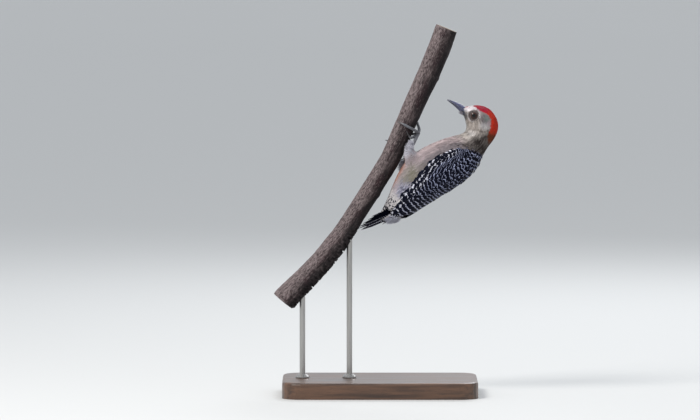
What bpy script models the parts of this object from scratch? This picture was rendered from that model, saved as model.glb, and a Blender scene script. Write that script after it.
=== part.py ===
"""A male red-crowned woodpecker clinging to a cut length of branch, life size, on a display stand.

Sizes are in millimetres and degrees, and MM turns them into metres where a mesh is made. +Z is up.
The origin is the middle of the base's underside. The bird's left side faces -Y, and the branch leans
towards +X. The head, neck and trunk share one lofted form, body_point, which the wings also follow.
"""

import math

import bmesh
import bpy
import numpy as np
from mathutils import Vector

MM = 0.001
GAP = 0.3  # clearance kept between neighbouring solids

# The body's form, one section for each named place from the tail coverts to the bill.
# Each has its centre (x, z), half its depth, the tilt of its belly-to-back line from +X, half its
# width, its roll (positive turns the back towards -Y) and how much narrower its back is than its belly.
SECTIONS = {
    "covert_end": (2.8, 150.4, 4.4, -46.0, 5.4, 22, 0.0),
    "tail_root": (7.8, 153.4, 7.4, -46.0, 9.4, 21, 0.0),
    "vent": (14.0, 159.2, 10.4, -43.3, 13.0, 18, 0.0),
    "flank": (22.1, 168.7, 14.5, -40.2, 17.0, 18, 0.0),
    "belly": (32.1, 179.3, 19.3, -37.5, 19.5, 18, 0.0),
    "waist": (42.9, 188.7, 22.6, -37.5, 20.5, 18, 0.0),
    "breast": (55.7, 197.3, 22.4, -38.6, 20.0, 18, 0.0),
    "shoulder": (68.0, 205.7, 18.9, -39.8, 17.5, 17, 0.0),
    "neck_base": (76.1, 212.0, 14.1, -40.0, 14.2, 12, 0.0),
    "neck": (81.6, 217.0, 11.6, -34.0, 12.0, 6, 0.03),
    "nape": (85.4, 222.7, 12.4, -22.2, 11.2, 2, 0.07),
    "hindcrown": (87.0, 228.9, 13.6, -8.1, 11.3, 0, 0.1),
    "crown": (85.7, 234.7, 13.3, 3.3, 11.2, 0, 0.1),
    "brow": (82.2, 239.6, 11.2, 21.3, 10.2, 0, 0.08),
    "forehead": (77.5, 241.7, 7.6, 38.5, 8.3, 0, 0.05),
    "lore": (73.9, 242.0, 5.2, 48.0, 5.8, 0, 0.0),
    "bill_base": (70.5, 242.6, 3.6, 50.0, 3.6, 0, 0.0),
}
BODY_Y = -4.0  # the body's centre plane, so that the rolled belly faces the branch
FULLNESS = 2.15  # exponent of the body's sections, 2 being an ellipse
SECTION_STEP = 0.42  # spacing of the loft's rings, in sections
RING_POINTS = 20

# Where the form is parted, counted in sections from the tail coverts.
TRUNK_SPAN = (0.0, 7.55)
NECK_SPAN = (7.60, 9.45)
HEAD_SPAN = (9.50, 16.0)

# The folded wing: at each place along the body, the angles from the back's midline at which
# it starts and ends.
WING_PLAN = (
    (7.75, 80, 93),
    (7.35, 60, 104),
    (6.0, 42, 101),
    (5.0, 28, 91),
    (4.0, 15, 84),
    (3.0, 8, 86),
    (2.2, 9, 88),
    (1.75, 24, 78),
)
PRIMARY_PLAN = ((3.4, 55, 80), (2.7, 50, 88), (2.1, 50, 89), (1.7, 54, 87), (1.4, 62, 80))
WING_PROUD = 0.5  # how far the wing stands out of the body's form
WING_DEPTH = 1.9  # and how far it reaches into it at the shoulder
WING_THIN_DEPTH = 0.5  # and over the primaries
PRIMARY_OUTER, PRIMARY_INNER = -0.9, -1.7

TAIL_ROOT = (10.8, 152.9)
TAIL_TIP = (-15.4, 140.2)
TAIL_TIP_Y = 1.0  # the tips meet the branch on its middle line
TAIL_BEND = 1.2  # how far the tips bend towards the branch
TAIL_RANKS = 5
RECTRIX_LENGTH_LOSS = (0.0, 1.6, 5.5, 11.0, 15.5)
RECTRIX_OFFSET, RECTRIX_OFFSET_STEP = 3.3, 0.7
RECTRIX_FAN, RECTRIX_FAN_STEP = 0.4, 0.6
RECTRIX_HALF_WIDTH, RECTRIX_THICK = 3.0, 0.52
RECTRIX_PITCH = RECTRIX_THICK + GAP + 0.02  # each pair lies this far below the one before

EYE_CENTRE = (79.4, 238.2)
EYE_RADIUS, EYE_OUT = 4.0, 7.1  # the eyeball, and its centre's distance from the head's middle

BILL_TIP = (56.9, 251.2)
BILL_DEPTH, BILL_WIDTH = 3.1, 3.2  # half sizes at the base

# The perch's centre line as (x, z, radius), from its lower cut end up.
PERCH_LINE = (
    (-82.0, 80.8, 10.6),
    (-56.5, 106.3, 9.7),
    (-35.3, 131.8, 9.2),
    (-19.1, 156.4, 8.7),
    (-4.3, 179.4, 8.9),
    (10.2, 204.0, 8.9),
    (19.6, 225.3, 9.0),
    (28.9, 246.5, 9.3),
    (40.0, 270.3, 9.7),
    (51.4, 297.5, 9.9),
    (56.0, 311.0, 9.9),
)
FOOT_X, FOOT_Z = 20.8, 228.4  # the place on the centre line from which the feet are measured

BASE_SIZE = (166.0, 104.0, 14.0)
BASE_ROUND, BASE_EDGE = 16.0, 2.0
ROD_RADIUS, ROD_SOCKET = 2.4, 8.0
ROD_PLACES = {"low": -66.0, "high": -26.0}  # x of each rod under the perch
ROD_BITE = 1.0  # how far short of the perch's centre line a rod stops
COLLAR_RADIUS, COLLAR_HEIGHT = 6.0, 3.0


def catmull(rows, at):
    """The rows' values at a place counted in rows, on a smooth curve through all of them."""
    rows = np.asarray(rows, float)
    i = int(min(max(math.floor(at), 0), len(rows) - 2))
    t = at - i
    before = rows[i - 1] if i > 0 else 2 * rows[0] - rows[1]
    after = rows[i + 2] if i + 2 < len(rows) else 2 * rows[-1] - rows[-2]
    a, b = rows[i], rows[i + 1]
    return 0.5 * (
        2 * a + (b - before) * t + (2 * before - 5 * a + 4 * b - after) * t**2
        + (3 * a - 3 * b + after - before) * t**3
    )


def body_section(at):
    """Centre, unit vectors towards the back and the bird's left, half depth, half width and taper."""
    x, z, depth, tilt, width, roll, taper = (float(v) for v in catmull(list(SECTIONS.values()), at))
    tilt, roll = math.radians(tilt), math.radians(roll)
    across = Vector((math.cos(tilt), 0, math.sin(tilt)))
    camera_side = Vector((0, -1, 0))
    back = math.cos(roll) * across + math.sin(roll) * camera_side
    left = math.cos(roll) * camera_side - math.sin(roll) * across
    return Vector((x, BODY_Y, z)), back, left, depth, width, taper


def body_point(at, angle, grow=0.0):
    """A point of the body's form, angle degrees from the back's midline towards the bird's left."""
    centre, back, left, depth, width, taper = body_section(at)
    c, s = math.cos(math.radians(angle)), math.sin(math.radians(angle))
    c_full = math.copysign(abs(c) ** (2 / FULLNESS), c)
    s_full = math.copysign(abs(s) ** (2 / FULLNESS), s)
    out = (depth + grow) * c_full * back + (width + grow) * s_full * (1 - taper * c) * left
    return centre + out


def principled(name, colour, roughness, metallic=0.0):
    material = bpy.data.materials.new(name)
    material.use_nodes = True
    shader = material.node_tree.nodes["Principled BSDF"]
    shader.inputs["Base Color"].default_value = (*colour, 1)
    shader.inputs["Roughness"].default_value = roughness
    shader.inputs["Metallic"].default_value = metallic
    return material


def add_mesh(name, mesh, material, collection="woodpecker", smooth_below=40):
    mesh.materials.clear()
    if material:
        mesh.materials.append(material)
    mesh.shade_smooth()
    mesh.set_sharp_from_angle(angle=math.radians(smooth_below))
    made = bpy.data.objects.new(name, mesh)
    bpy.data.collections[collection].objects.link(made)
    return made


def from_bmesh(name, bm, material, **where):
    bmesh.ops.recalc_face_normals(bm, faces=bm.faces)
    mesh = bpy.data.meshes.new(name)
    bm.to_mesh(mesh)
    bm.free()
    return add_mesh(name, mesh, material, **where)


def loft(name, rings, material, **where):
    """A closed solid through rings of equally many points, with its two ends filled."""
    bm = bmesh.new()
    made = [[bm.verts.new(Vector(p) * MM) for p in ring] for ring in rings]
    for lower, upper in zip(made, made[1:]):
        for i in range(len(lower)):
            j = (i + 1) % len(lower)
            bm.faces.new((lower[i], lower[j], upper[j], upper[i]))
    bm.faces.new(made[0])
    bm.faces.new(made[-1])
    bmesh.ops.triangulate(bm, faces=[f for f in bm.faces if len(f.verts) > 4])
    return from_bmesh(name, bm, material, **where)


def tube(name, points, radii, material, resolution=2, **where):
    """A curve with a round section of changing radius and filled ends, as a welded mesh object."""
    curve = bpy.data.curves.new(name, "CURVE")
    curve.dimensions = "3D"
    curve.bevel_depth = MM
    curve.bevel_resolution = resolution
    curve.use_fill_caps = True
    spline = curve.splines.new("POLY")
    spline.points.add(len(points) - 1)
    for point, place, radius in zip(spline.points, points, radii):
        point.co = (*(Vector(place) * MM), 1)
        point.radius = radius
    guide = bpy.data.objects.new(name, curve)
    bpy.context.scene.collection.objects.link(guide)
    graph = bpy.context.evaluated_depsgraph_get()
    mesh = bpy.data.meshes.new_from_object(guide.evaluated_get(graph))
    bpy.data.objects.remove(guide)
    bm = bmesh.new()
    bm.from_mesh(mesh)
    bpy.data.meshes.remove(mesh)
    bmesh.ops.remove_doubles(bm, verts=bm.verts, dist=0.01 * MM)
    return from_bmesh(name, bm, material, **where)


def boolean(solid, other, operation="DIFFERENCE"):
    """Cuts other from solid, or joins it on. other becomes a hidden helper."""
    modifier = solid.modifiers.new(f"{operation.lower()}_{other.name}", "BOOLEAN")
    modifier.operation = operation
    modifier.object = other
    modifier.solver = "EXACT"
    other.hide_render = True
    other.display_type = "WIRE"


def body_rings(span, grow=0.0):
    start, end = span
    steps = max(2, round((end - start) / SECTION_STEP))
    angles = [360 * k / RING_POINTS for k in range(RING_POINTS)]
    return [
        [body_point(start + (end - start) * i / steps, angle, grow) for angle in angles]
        for i in range(steps + 1)
    ]


def shell_on_body(name, plan, side, outer, inner, material, spread=0.0, rows=15, columns=8, **where):
    """A curved plate over the flank. plan gives its place and its two edges' angles, and outer and
    inner give its two surfaces' heights above the body's form at (share along, share across)."""
    rings = []
    for i in range(rows):
        share = i / (rows - 1)
        at, top, bottom = catmull(plan, share * (len(plan) - 1))
        at += spread * (0.5 - share) * 0.12
        around = np.linspace(top - 1.5 * spread, bottom + 1.5 * spread, columns)
        over = [body_point(at, side * a, outer(share, k / (columns - 1))) for k, a in enumerate(around)]
        under = [body_point(at, side * a, inner(share, k / (columns - 1))) for k, a in enumerate(around)]
        rings.append(over + under[::-1])
    return loft(name, rings, material, **where)


def edge_share(along, across):
    """0 at a plate's rim and 1 well inside it."""
    return min(1.0, 5 * min(along, 1 - along), 4 * min(across, 1 - across))


def wing_outer(along, across):
    return WING_PROUD * (0.4 + 0.6 * edge_share(along, across))


def wing_inner(along, across):
    deep = WING_THIN_DEPTH + (WING_DEPTH - WING_THIN_DEPTH) * min(1, max(0, (0.62 - along) * 6))
    return -(0.45 + (deep - 0.45) * edge_share(along, across))


def add_wing(side, name, trunk, neck, materials):
    wing = shell_on_body(f"wing_{name}", WING_PLAN, side, wing_outer, wing_inner, materials["barred"])
    tips = shell_on_body(
        f"primaries_{name}", PRIMARY_PLAN, side,
        lambda along, across: PRIMARY_OUTER, lambda along, across: PRIMARY_INNER,
        materials["black"], rows=9, columns=5,
    )
    pocket = shell_on_body(
        f"wing_pocket_{name}", WING_PLAN, side,
        lambda along, across: 4.0, lambda along, across: wing_inner(along, across) - GAP,
        None, spread=1.0, collection="cutters",
    )
    tip_pocket = shell_on_body(
        f"primary_pocket_{name}", PRIMARY_PLAN, side,
        lambda along, across: 4.0, lambda along, across: PRIMARY_INNER - GAP,
        None, spread=1.0, rows=9, columns=5, collection="cutters",
    )
    boolean(trunk, pocket)
    boolean(trunk, tip_pocket)
    boolean(neck, pocket)
    return wing, tips


def add_tail(trunk, materials):
    """Ten stiff pointed feathers, the middle pair on top, each pair below it shorter and wider set."""
    root = Vector((TAIL_ROOT[0], BODY_Y, TAIL_ROOT[1]))
    tip = Vector((TAIL_TIP[0], TAIL_TIP_Y, TAIL_TIP[1]))
    along = (tip - root).normalized()
    left = body_section(0.0)[2]
    left = (left - left.dot(along) * along).normalized()
    back = left.cross(along).normalized()
    if back.z > 0:
        back = -back
    length = (tip - root).length
    for side, name in ((1, "left"), (-1, "right")):
        for rank in range(TAIL_RANKS):
            fan = math.radians(RECTRIX_FAN + RECTRIX_FAN_STEP * rank)
            lean = math.cos(fan) * along + math.sin(fan) * side * left
            across = (math.cos(fan) * side * left - math.sin(fan) * along).normalized()
            start = root + side * (RECTRIX_OFFSET + RECTRIX_OFFSET_STEP * rank) * left
            start -= back * rank * RECTRIX_PITCH
            long = length - RECTRIX_LENGTH_LOSS[rank]
            rings = []
            for share in (0, 0.25, 0.5, 0.7, 0.82, 0.91, 0.97, 1.0):
                half = RECTRIX_HALF_WIDTH * min(1.0, 0.12 + 1.6 * math.sqrt(max(0, 1 - share)))
                centre = start + lean * long * share - back * TAIL_BEND * share**2
                ridge, rim = RECTRIX_THICK / 2, RECTRIX_THICK / 2 * 0.82
                rings.append([
                    centre - half * across - rim * back,
                    centre + half * across - rim * back,
                    centre + half * across + rim * back,
                    centre + 0.3 * half * across + ridge * back,
                    centre - half * across + rim * back,
                ])
            loft(f"rectrix_{name}_{rank + 1}", rings, materials["black"])
    slot = []
    for share, wide in ((-0.06, 11.0), (0.3, 12.0), (0.62, 14.0)):
        centre = root + along * length * share - back * TAIL_BEND * share**2
        top, under = 0.8, -(TAIL_RANKS - 1) * RECTRIX_PITCH - 0.8
        slot.append([
            centre + w * wide * left + h * back
            for w, h in ((-1, under), (1, under), (1, top), (-1, top))
        ])
    boolean(trunk, loft("tail_slot", slot, None, collection="cutters"))


def add_eyes(head, materials):
    for side, name in ((-1, "left"), (1, "right")):
        for radius, what in ((EYE_RADIUS, "eye"), (EYE_RADIUS + GAP, "socket")):
            bm = bmesh.new()
            bmesh.ops.create_uvsphere(bm, u_segments=16, v_segments=10, radius=radius * MM)
            bmesh.ops.rotate(bm, verts=bm.verts, matrix=Vector((0, 0, 1)).rotation_difference(
                Vector((0, side, 0))).to_matrix())
            bmesh.ops.translate(
                bm, verts=bm.verts,
                vec=Vector((EYE_CENTRE[0], BODY_Y + side * EYE_OUT, EYE_CENTRE[1])) * MM,
            )
            if what == "eye":
                from_bmesh(f"eye_{name}", bm, materials["eye"])
            else:
                boolean(head, from_bmesh(f"socket_{name}", bm, None, collection="cutters"))


def add_bill(materials):
    """Two mandibles that share a straight cutting line and taper to a narrow chisel."""
    base, face, *_ = body_section(HEAD_SPAN[1])
    tip = Vector((BILL_TIP[0], BODY_Y, BILL_TIP[1]))
    along = (tip - base).normalized()
    side = Vector((0, -1, 0))
    up = side.cross(along).normalized()
    if up.z < 0:
        up = -up
    length = (tip - base).length - GAP
    start = base + along * GAP
    for name, sign in (("bill_upper", 1), ("bill_lower", -1)):
        rings = []
        for share in (0, 0.15, 0.35, 0.6, 0.8, 0.93, 1.0):
            taper = 1 - share**1.25
            high = BILL_DEPTH * (0.1 + 0.9 * taper) * (1.0 if sign > 0 else 0.86)
            wide = BILL_WIDTH * (0.16 + 0.84 * (1 - share) ** 0.85)
            centre = start + along * length * share * (1.0 if sign > 0 else 0.985)
            centre += up * 0.5 * math.sin(math.pi * share)
            rise = face.lerp(up, min(1, 4 * share)).normalized() * sign
            ring = [centre + side * wide * s + rise * GAP / 2 for s in (1, -1)]
            for angle in (-155, -125, -90, -55, -25):
                a = math.radians(angle)
                ring.append(
                    centre + side * wide * math.cos(a) * 0.92
                    + rise * (GAP / 2 + high * abs(math.sin(a)) ** 1.1)
                )
            rings.append(ring)
        loft(name, rings, materials["bill"])


def perch_samples():
    steps = 20 * (len(PERCH_LINE) - 1)
    rows = np.array([catmull(PERCH_LINE, i / 20) for i in range(steps + 1)])
    along = np.concatenate([[0], np.cumsum(np.hypot(*np.diff(rows[:, :2], axis=0).T))])
    here = np.argmin(np.hypot(rows[:, 0] - FOOT_X, rows[:, 1] - FOOT_Z))
    return along - along[here], rows


def perch_point(along, around, clear):
    """A point clear millimetres off the perch, along millimetres above the left foot's place, and
    around degrees from its right side towards -Y."""
    distance, rows = perch_samples()
    x, z, radius = (float(np.interp(along, distance, rows[:, k])) for k in range(3))
    x2, z2 = (float(np.interp(along + 1, distance, rows[:, k])) for k in range(2))
    up = Vector((x2 - x, 0, z2 - z)).normalized()
    right = Vector((up.z, 0, -up.x))
    a = math.radians(around)
    out = math.cos(a) * right + math.sin(a) * Vector((0, -1, 0))
    return Vector((x, 0, z)) + (radius + clear) * out


def add_perch(materials):
    distance, rows = perch_samples()
    points, radii = [], []
    for along in np.linspace(distance[0], distance[-1], 26):
        x, z, radius = (float(np.interp(along, distance, rows[:, k])) for k in range(3))
        points.append((x, 0, z))
        radii.append(radius)
    return tube("perch", points, radii, materials["bark"], resolution=4)


# Each toe: its claw number, then its path over the perch as (along, around, clearance) from the
# foot's ball outwards, then its claw's path the same way.
TOES = {
    1: (
        ((-3.2, 8, 3.0), (-5.8, 22, 1.8), (-6.6, 38, 1.4)),
        ((-6.6, 46, 1.7), (-5.0, 62, 2.0), (-2.6, 74, 0.8)),
    ),
    2: (
        ((-1.8, -12, 2.4), (-3.6, -30, 1.6), (-4.6, -48, 1.4)),
        ((-5.2, -56, 1.7), (-6.6, -70, 2.0), (-8.0, -84, 0.8)),
    ),
    3: (
        ((1.6, -2, 3.7), (3.6, -9, 2.6), (5.4, -22, 1.6), (7.2, -38, 1.4)),
        ((7.9, -46, 1.8), (9.3, -62, 2.0), (10.6, -76, 0.8)),
    ),
    4: (
        ((0.2, 18, 2.7), (0.8, 50, 1.6), (1.2, 76, 1.5), (1.6, 98, 1.4)),
        ((1.7, 108, 1.7), (1.6, 122, 1.8), (1.5, 136, 0.8)),
    ),
}
TOE_RADIUS, TOE_TIP_RADIUS = 1.15, 0.85
CLAW_RADIUS, CLAW_TIP_RADIUS = 0.65, 0.27
TARSUS_RADIUS = 1.25
BALL = (-0.6, 3, 3.7)  # where the toes meet, in the same terms
THIGH_RADII = (8.0, 7.6, 6.8, 5.8, 4.4, 3.2, 2.4, 1.9)
LEGS = {
    "left": {
        "side": 1, "shift": 0.0, "turn": 0.0, "heel": (25.8, -11.5, 210.5),
        "thigh": ((32.0, -9.0, 195.5), (27.0, -11.0, 203.5), (25.6, -11.5, 209.5), (26.5, -11.3, 214.6)),
    },
    "right": {
        "side": -1, "shift": -19.0, "turn": -42.0, "heel": (20.5, 11.5, 193.5),
        "thigh": ((31.0, 4.0, 184.0), (24.5, 8.5, 189.0), (21.5, 10.5, 193.0), (20.2, 11.6, 197.5)),
    },
}


def smooth_path(points, count):
    points = [list(p) for p in points]
    return [Vector(catmull(points, (len(points) - 1) * i / (count - 1))) for i in range(count)]


def add_leg(name, leg, materials):
    side, shift = leg["side"], leg["shift"]

    def on_perch(place):
        along, around, clear = place
        return perch_point(along + shift, side * around + leg["turn"], clear)

    ball = on_perch(BALL)
    heel = Vector(leg["heel"])
    shank = tube(
        f"foot_{name}",
        smooth_path([heel, heel.lerp(ball, 0.5) + Vector((0.6, 0, 0)), ball], 6),
        [TARSUS_RADIUS * f for f in (1.25, 1.05, 0.95, 0.95, 1.05, 1.35)],
        materials["foot"],
    )
    for number, (toe, claw) in TOES.items():
        first = on_perch(toe[0])
        root = ball + (ball - first).normalized() * TOE_RADIUS * 0.3
        path = smooth_path([root, *(on_perch(p) for p in toe)], 2 * len(toe) + 2)
        radii = np.linspace(TOE_RADIUS, TOE_TIP_RADIUS, len(path))
        digit = tube(f"toe_{name}_{number}", path, radii, materials["foot"], collection="cutters")
        boolean(shank, digit, "UNION")
        ahead = (path[-1] - path[-2]).normalized()
        hook = smooth_path([path[-1] + ahead * GAP * 1.2, *(on_perch(p) for p in claw[1:])], 7)
        hook[1] = hook[0].lerp(hook[0] + ahead * (hook[1] - hook[0]).length, 0.7)
        tube(
            f"claw_{name}_{number}", hook,
            np.linspace(CLAW_RADIUS, CLAW_TIP_RADIUS, len(hook)), materials["claw"], resolution=1,
        )
    tuft = tube(
        f"thigh_{name}", smooth_path(leg["thigh"], len(THIGH_RADII)), THIGH_RADII,
        materials["pale"], resolution=3,
    )
    around_shank = tube(
        f"shank_clear_{name}",
        [heel - (ball - heel).normalized() * 1.5, ball],
        [TARSUS_RADIUS * 1.35 + GAP, TARSUS_RADIUS * 1.25 + GAP], None, collection="cutters",
    )
    boolean(tuft, around_shank)
    return tuft


def add_stand(perch, materials):
    bm = bmesh.new()
    bmesh.ops.create_cube(bm, size=1)
    bmesh.ops.scale(bm, vec=Vector(BASE_SIZE) * MM, verts=bm.verts)
    bmesh.ops.translate(bm, vec=Vector((0, 0, BASE_SIZE[2] / 2)) * MM, verts=bm.verts)
    upright = [e for e in bm.edges if abs(e.verts[0].co.z - e.verts[1].co.z) > MM]
    bmesh.ops.bevel(
        bm, geom=upright, offset=BASE_ROUND * MM, segments=6, profile=0.5, affect="EDGES"
    )
    top = [f for f in bm.faces if f.calc_center_median().z > (BASE_SIZE[2] - 0.5) * MM]
    bmesh.ops.bevel(
        bm, geom=list(top[0].edges), offset=BASE_EDGE * MM, segments=2, profile=0.5, affect="EDGES"
    )
    base = from_bmesh("stand_base", bm, materials["base"])
    distance, rows = perch_samples()
    for name, x in ROD_PLACES.items():
        top_z = float(np.interp(x, rows[:, 0], rows[:, 1])) - ROD_BITE
        foot_z = BASE_SIZE[2] - ROD_SOCKET
        for radius, below, above, what in (
            (ROD_RADIUS, 0.0, 0.0, "stand_rod"),
            (ROD_RADIUS + GAP, GAP, GAP, "rod_hole"),
        ):
            bm = bmesh.new()
            height = top_z - foot_z + below + above
            bmesh.ops.create_cone(
                bm, cap_ends=True, segments=16, radius1=radius * MM, radius2=radius * MM,
                depth=height * MM,
            )
            middle = foot_z - below + height / 2
            bmesh.ops.translate(bm, vec=Vector((x, 0, middle)) * MM, verts=bm.verts)
            if what == "stand_rod":
                from_bmesh(f"stand_rod_{name}", bm, materials["rod"])
            else:
                hole = from_bmesh(f"rod_hole_{name}", bm, None, collection="cutters")
                boolean(base, hole)
                boolean(perch, hole)
        add_collar(name, x, materials)


def add_collar(name, x, materials):
    """A turned ring round a rod's foot."""
    inner, low = ROD_RADIUS + GAP, BASE_SIZE[2] + GAP
    high = low + COLLAR_HEIGHT
    profile = (
        (inner, high), (inner + 1.2, high), (COLLAR_RADIUS, low + 1.0),
        (COLLAR_RADIUS, low), (inner, low),
    )
    bm = bmesh.new()
    points = [bm.verts.new(Vector((r, 0, z)) * MM) for r, z in profile]
    for a, b in zip(points, points[1:] + points[:1]):
        bm.edges.new((a, b))
    mesh = bpy.data.meshes.new(f"stand_collar_{name}")
    bm.to_mesh(mesh)
    bm.free()
    collar = add_mesh(f"stand_collar_{name}", mesh, materials["rod"])
    collar.location = (x * MM, 0, 0)
    turn = collar.modifiers.new("turn", "SCREW")
    turn.angle, turn.screw_offset, turn.axis = math.tau, 0, "Z"
    turn.steps = turn.render_steps = 16
    turn.use_merge_vertices, turn.merge_threshold = True, 0.00001
    turn.use_normal_calculate = True


def main():
    for old in list(bpy.data.objects):
        bpy.data.objects.remove(old)
    for name in ("woodpecker", "cutters"):
        made = bpy.data.collections.new(name)
        bpy.context.scene.collection.children.link(made)
    materials = {
        "pale": principled("plumage_pale", (0.47, 0.41, 0.36), 0.85),
        "red": principled("plumage_head", (0.55, 0.06, 0.05), 0.8),
        "barred": principled("plumage_barred", (0.12, 0.12, 0.14), 0.7),
        "black": principled("plumage_black", (0.02, 0.02, 0.025), 0.6),
        "bill": principled("bill_horn", (0.13, 0.14, 0.17), 0.4),
        "eye": principled("eye_gloss", (0.03, 0.012, 0.01), 0.08),
        "foot": principled("foot_scales", (0.34, 0.35, 0.33), 0.6),
        "claw": principled("claw_horn", (0.25, 0.24, 0.22), 0.4),
        "bark": principled("perch_bark", (0.2, 0.15, 0.13), 0.9),
        "base": principled("base_wood", (0.09, 0.045, 0.025), 0.4),
        "rod": principled("rod_metal", (0.5, 0.5, 0.5), 0.3, 1.0),
    }
    trunk = loft("trunk", body_rings(TRUNK_SPAN), materials["pale"])
    neck = loft("neck", body_rings(NECK_SPAN), materials["pale"])
    head = loft("head", body_rings(HEAD_SPAN), materials["red"])
    for side, name in ((1, "left"), (-1, "right")):
        add_wing(side, name, trunk, neck, materials)
    add_tail(trunk, materials)
    add_eyes(head, materials)
    add_bill(materials)
    perch = add_perch(materials)
    body_clear = loft("body_clear", body_rings(TRUNK_SPAN, GAP), None, collection="cutters")
    for name, leg in LEGS.items():
        boolean(add_leg(name, leg, materials), body_clear)
    add_stand(perch, materials)


main()
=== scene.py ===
"""The looks of the red-crowned woodpecker on its perch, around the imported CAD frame.

Every place comes from the frame. The bird's outer form is read as a table of points at a distance
along the spine and an angle round it (Form), and one skin, the plumage's markings and every feather
are laid out in those two coordinates. Lengths are in metres, written as millimetres times MM.
"""

import math

import bmesh
import bpy
import numpy as np
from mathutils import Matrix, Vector
from mathutils.bvhtree import BVHTree


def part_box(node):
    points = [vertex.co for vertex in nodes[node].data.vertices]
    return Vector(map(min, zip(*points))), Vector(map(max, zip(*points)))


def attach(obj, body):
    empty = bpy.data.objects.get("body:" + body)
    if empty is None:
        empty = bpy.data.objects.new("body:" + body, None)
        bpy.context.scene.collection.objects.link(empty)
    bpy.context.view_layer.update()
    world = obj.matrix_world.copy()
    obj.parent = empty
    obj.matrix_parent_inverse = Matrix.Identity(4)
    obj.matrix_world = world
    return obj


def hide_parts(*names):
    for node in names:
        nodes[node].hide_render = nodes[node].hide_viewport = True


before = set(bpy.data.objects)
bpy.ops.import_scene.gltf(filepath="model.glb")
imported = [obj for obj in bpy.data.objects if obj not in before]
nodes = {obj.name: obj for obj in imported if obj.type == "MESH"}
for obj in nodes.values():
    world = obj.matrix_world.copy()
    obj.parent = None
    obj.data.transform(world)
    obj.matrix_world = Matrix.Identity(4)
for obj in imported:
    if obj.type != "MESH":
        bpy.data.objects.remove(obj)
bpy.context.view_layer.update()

MM = 0.001
SIDES = {"left": 1, "right": -1}
rng = np.random.default_rng(41)

# Colours, linear.
WHITE_BAR = (0.6, 0.6, 0.68)
BLUISH_BAR = (0.22, 0.25, 0.41)
RUMP_WHITE = (0.47, 0.47, 0.54)
BLACK = (0.004, 0.005, 0.013)
CROWN_RED = (0.5, 0.018, 0.045)
CROWN_LILAC = (0.34, 0.11, 0.16)
NAPE_RED = (0.6, 0.045, 0.024)
RUSTY = (0.15, 0.045, 0.022)
# Dusky grey-brown of the neck, darkened further for painted shade on its lower side.
DUSKY_AND_SHADE = (0.04, 0.031, 0.029)
PALE_DUSKY_AND_SHADE = (0.115, 0.096, 0.09)
FOREHEAD = (0.92, 0.86, 0.88)
BROW_PINK = (0.46, 0.32, 0.37)
FACE = (0.42, 0.365, 0.33)
THROAT = (0.5, 0.45, 0.41)
BREAST = (0.48, 0.385, 0.385)
# Painted shade on the breast below the wing's edge.
BREAST_SHADE = (0.19, 0.165, 0.175)
BELLY = (0.39, 0.335, 0.355)
BELLY_RED = (0.46, 0.2, 0.115)
# Flank plumage, darkened for painted shade under the wing.
FLANK_AND_SHADE = (0.3, 0.295, 0.37)
VENT = (0.5, 0.47, 0.47)
THIGH = (0.64, 0.63, 0.69)
OLIVE = (0.185, 0.172, 0.125)
FLANK_DARK = (0.06, 0.06, 0.09)
PALE_EAR = (0.6, 0.58, 0.6)
EAR_GREY = (0.1, 0.088, 0.11)
EAR_GREEN = (0.21, 0.25, 0.23)
# The painted shadow of a crease in the cheek feathers.
CREASE_SHADOW = (0.05, 0.04, 0.036)
WISP = (0.3, 0.28, 0.33)
LORE_PINK = (0.6, 0.13, 0.16)
LORE_GREY = (0.09, 0.09, 0.095)
CHIN = (0.16, 0.135, 0.13)


# ---- small tools


def unit(v):
    return v / np.maximum(np.linalg.norm(v, axis=-1, keepdims=True), 1e-12)


def away(co, place_):
    """How far each point lies from a place."""
    return np.linalg.norm(co - place_, axis=1)


def smooth(low, high, x):
    """0 where x is below low, 1 where it is above high, or the other way round."""
    t = np.clip((x - low) / (high - low), 0, 1)
    return t * t * (3 - 2 * t)


def peak(x, half):
    """1 where x is 0, falling off on both sides."""
    return np.exp(-((x / half) ** 2))


def mix(a, b, share):
    a, b = np.asarray(a, float), np.asarray(b, float)
    return a + (b - a) * np.asarray(share)[..., None]


def layered(tone, *layers):
    """A tone with others laid over it in turn, each given as its share and its colour."""
    for share, colour in layers:
        tone = mix(tone, colour, share)
    return tone


def turned(a):
    """An angle round the body in degrees from the back, alike on both sides."""
    return np.abs(np.degrees(a))


def catmull(rows, at):
    """Values at places counted in rows, on a smooth curve through all the rows."""
    rows, at = np.asarray(rows, float), np.atleast_1d(at)
    padded = np.concatenate([[2 * rows[0] - rows[1]], rows, [2 * rows[-1] - rows[-2]]])
    i = np.clip(np.floor(at).astype(int), 0, len(rows) - 2)
    t = (at - i)[:, None]
    a, b, c, d = (padded[i + k] for k in range(4))
    return 0.5 * (2 * b + (c - a) * t + (2 * a - 5 * b + 4 * c - d) * t**2
                  + (3 * b - 3 * c + d - a) * t**3)


def read(items, name, width=3, kind=float):
    """A property of a mesh's vertices, edges or corners, one row each."""
    values = np.empty(len(items) * width, kind)
    items.foreach_get(name, values)
    return values.reshape(-1, width)


def points_of(name):
    return read(nodes[name].data.vertices, "co")


def middle(name):
    low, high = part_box(name)
    return (np.array(low) + np.array(high)) / 2


def tree_of(mesh):
    return BVHTree.FromPolygons([tuple(v) for v in read(mesh.vertices, "co")],
                                [tuple(p.vertices) for p in mesh.polygons])


def link(name, data):
    obj = bpy.data.objects.new(name, data)
    bpy.context.scene.collection.objects.link(obj)
    return obj


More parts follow.
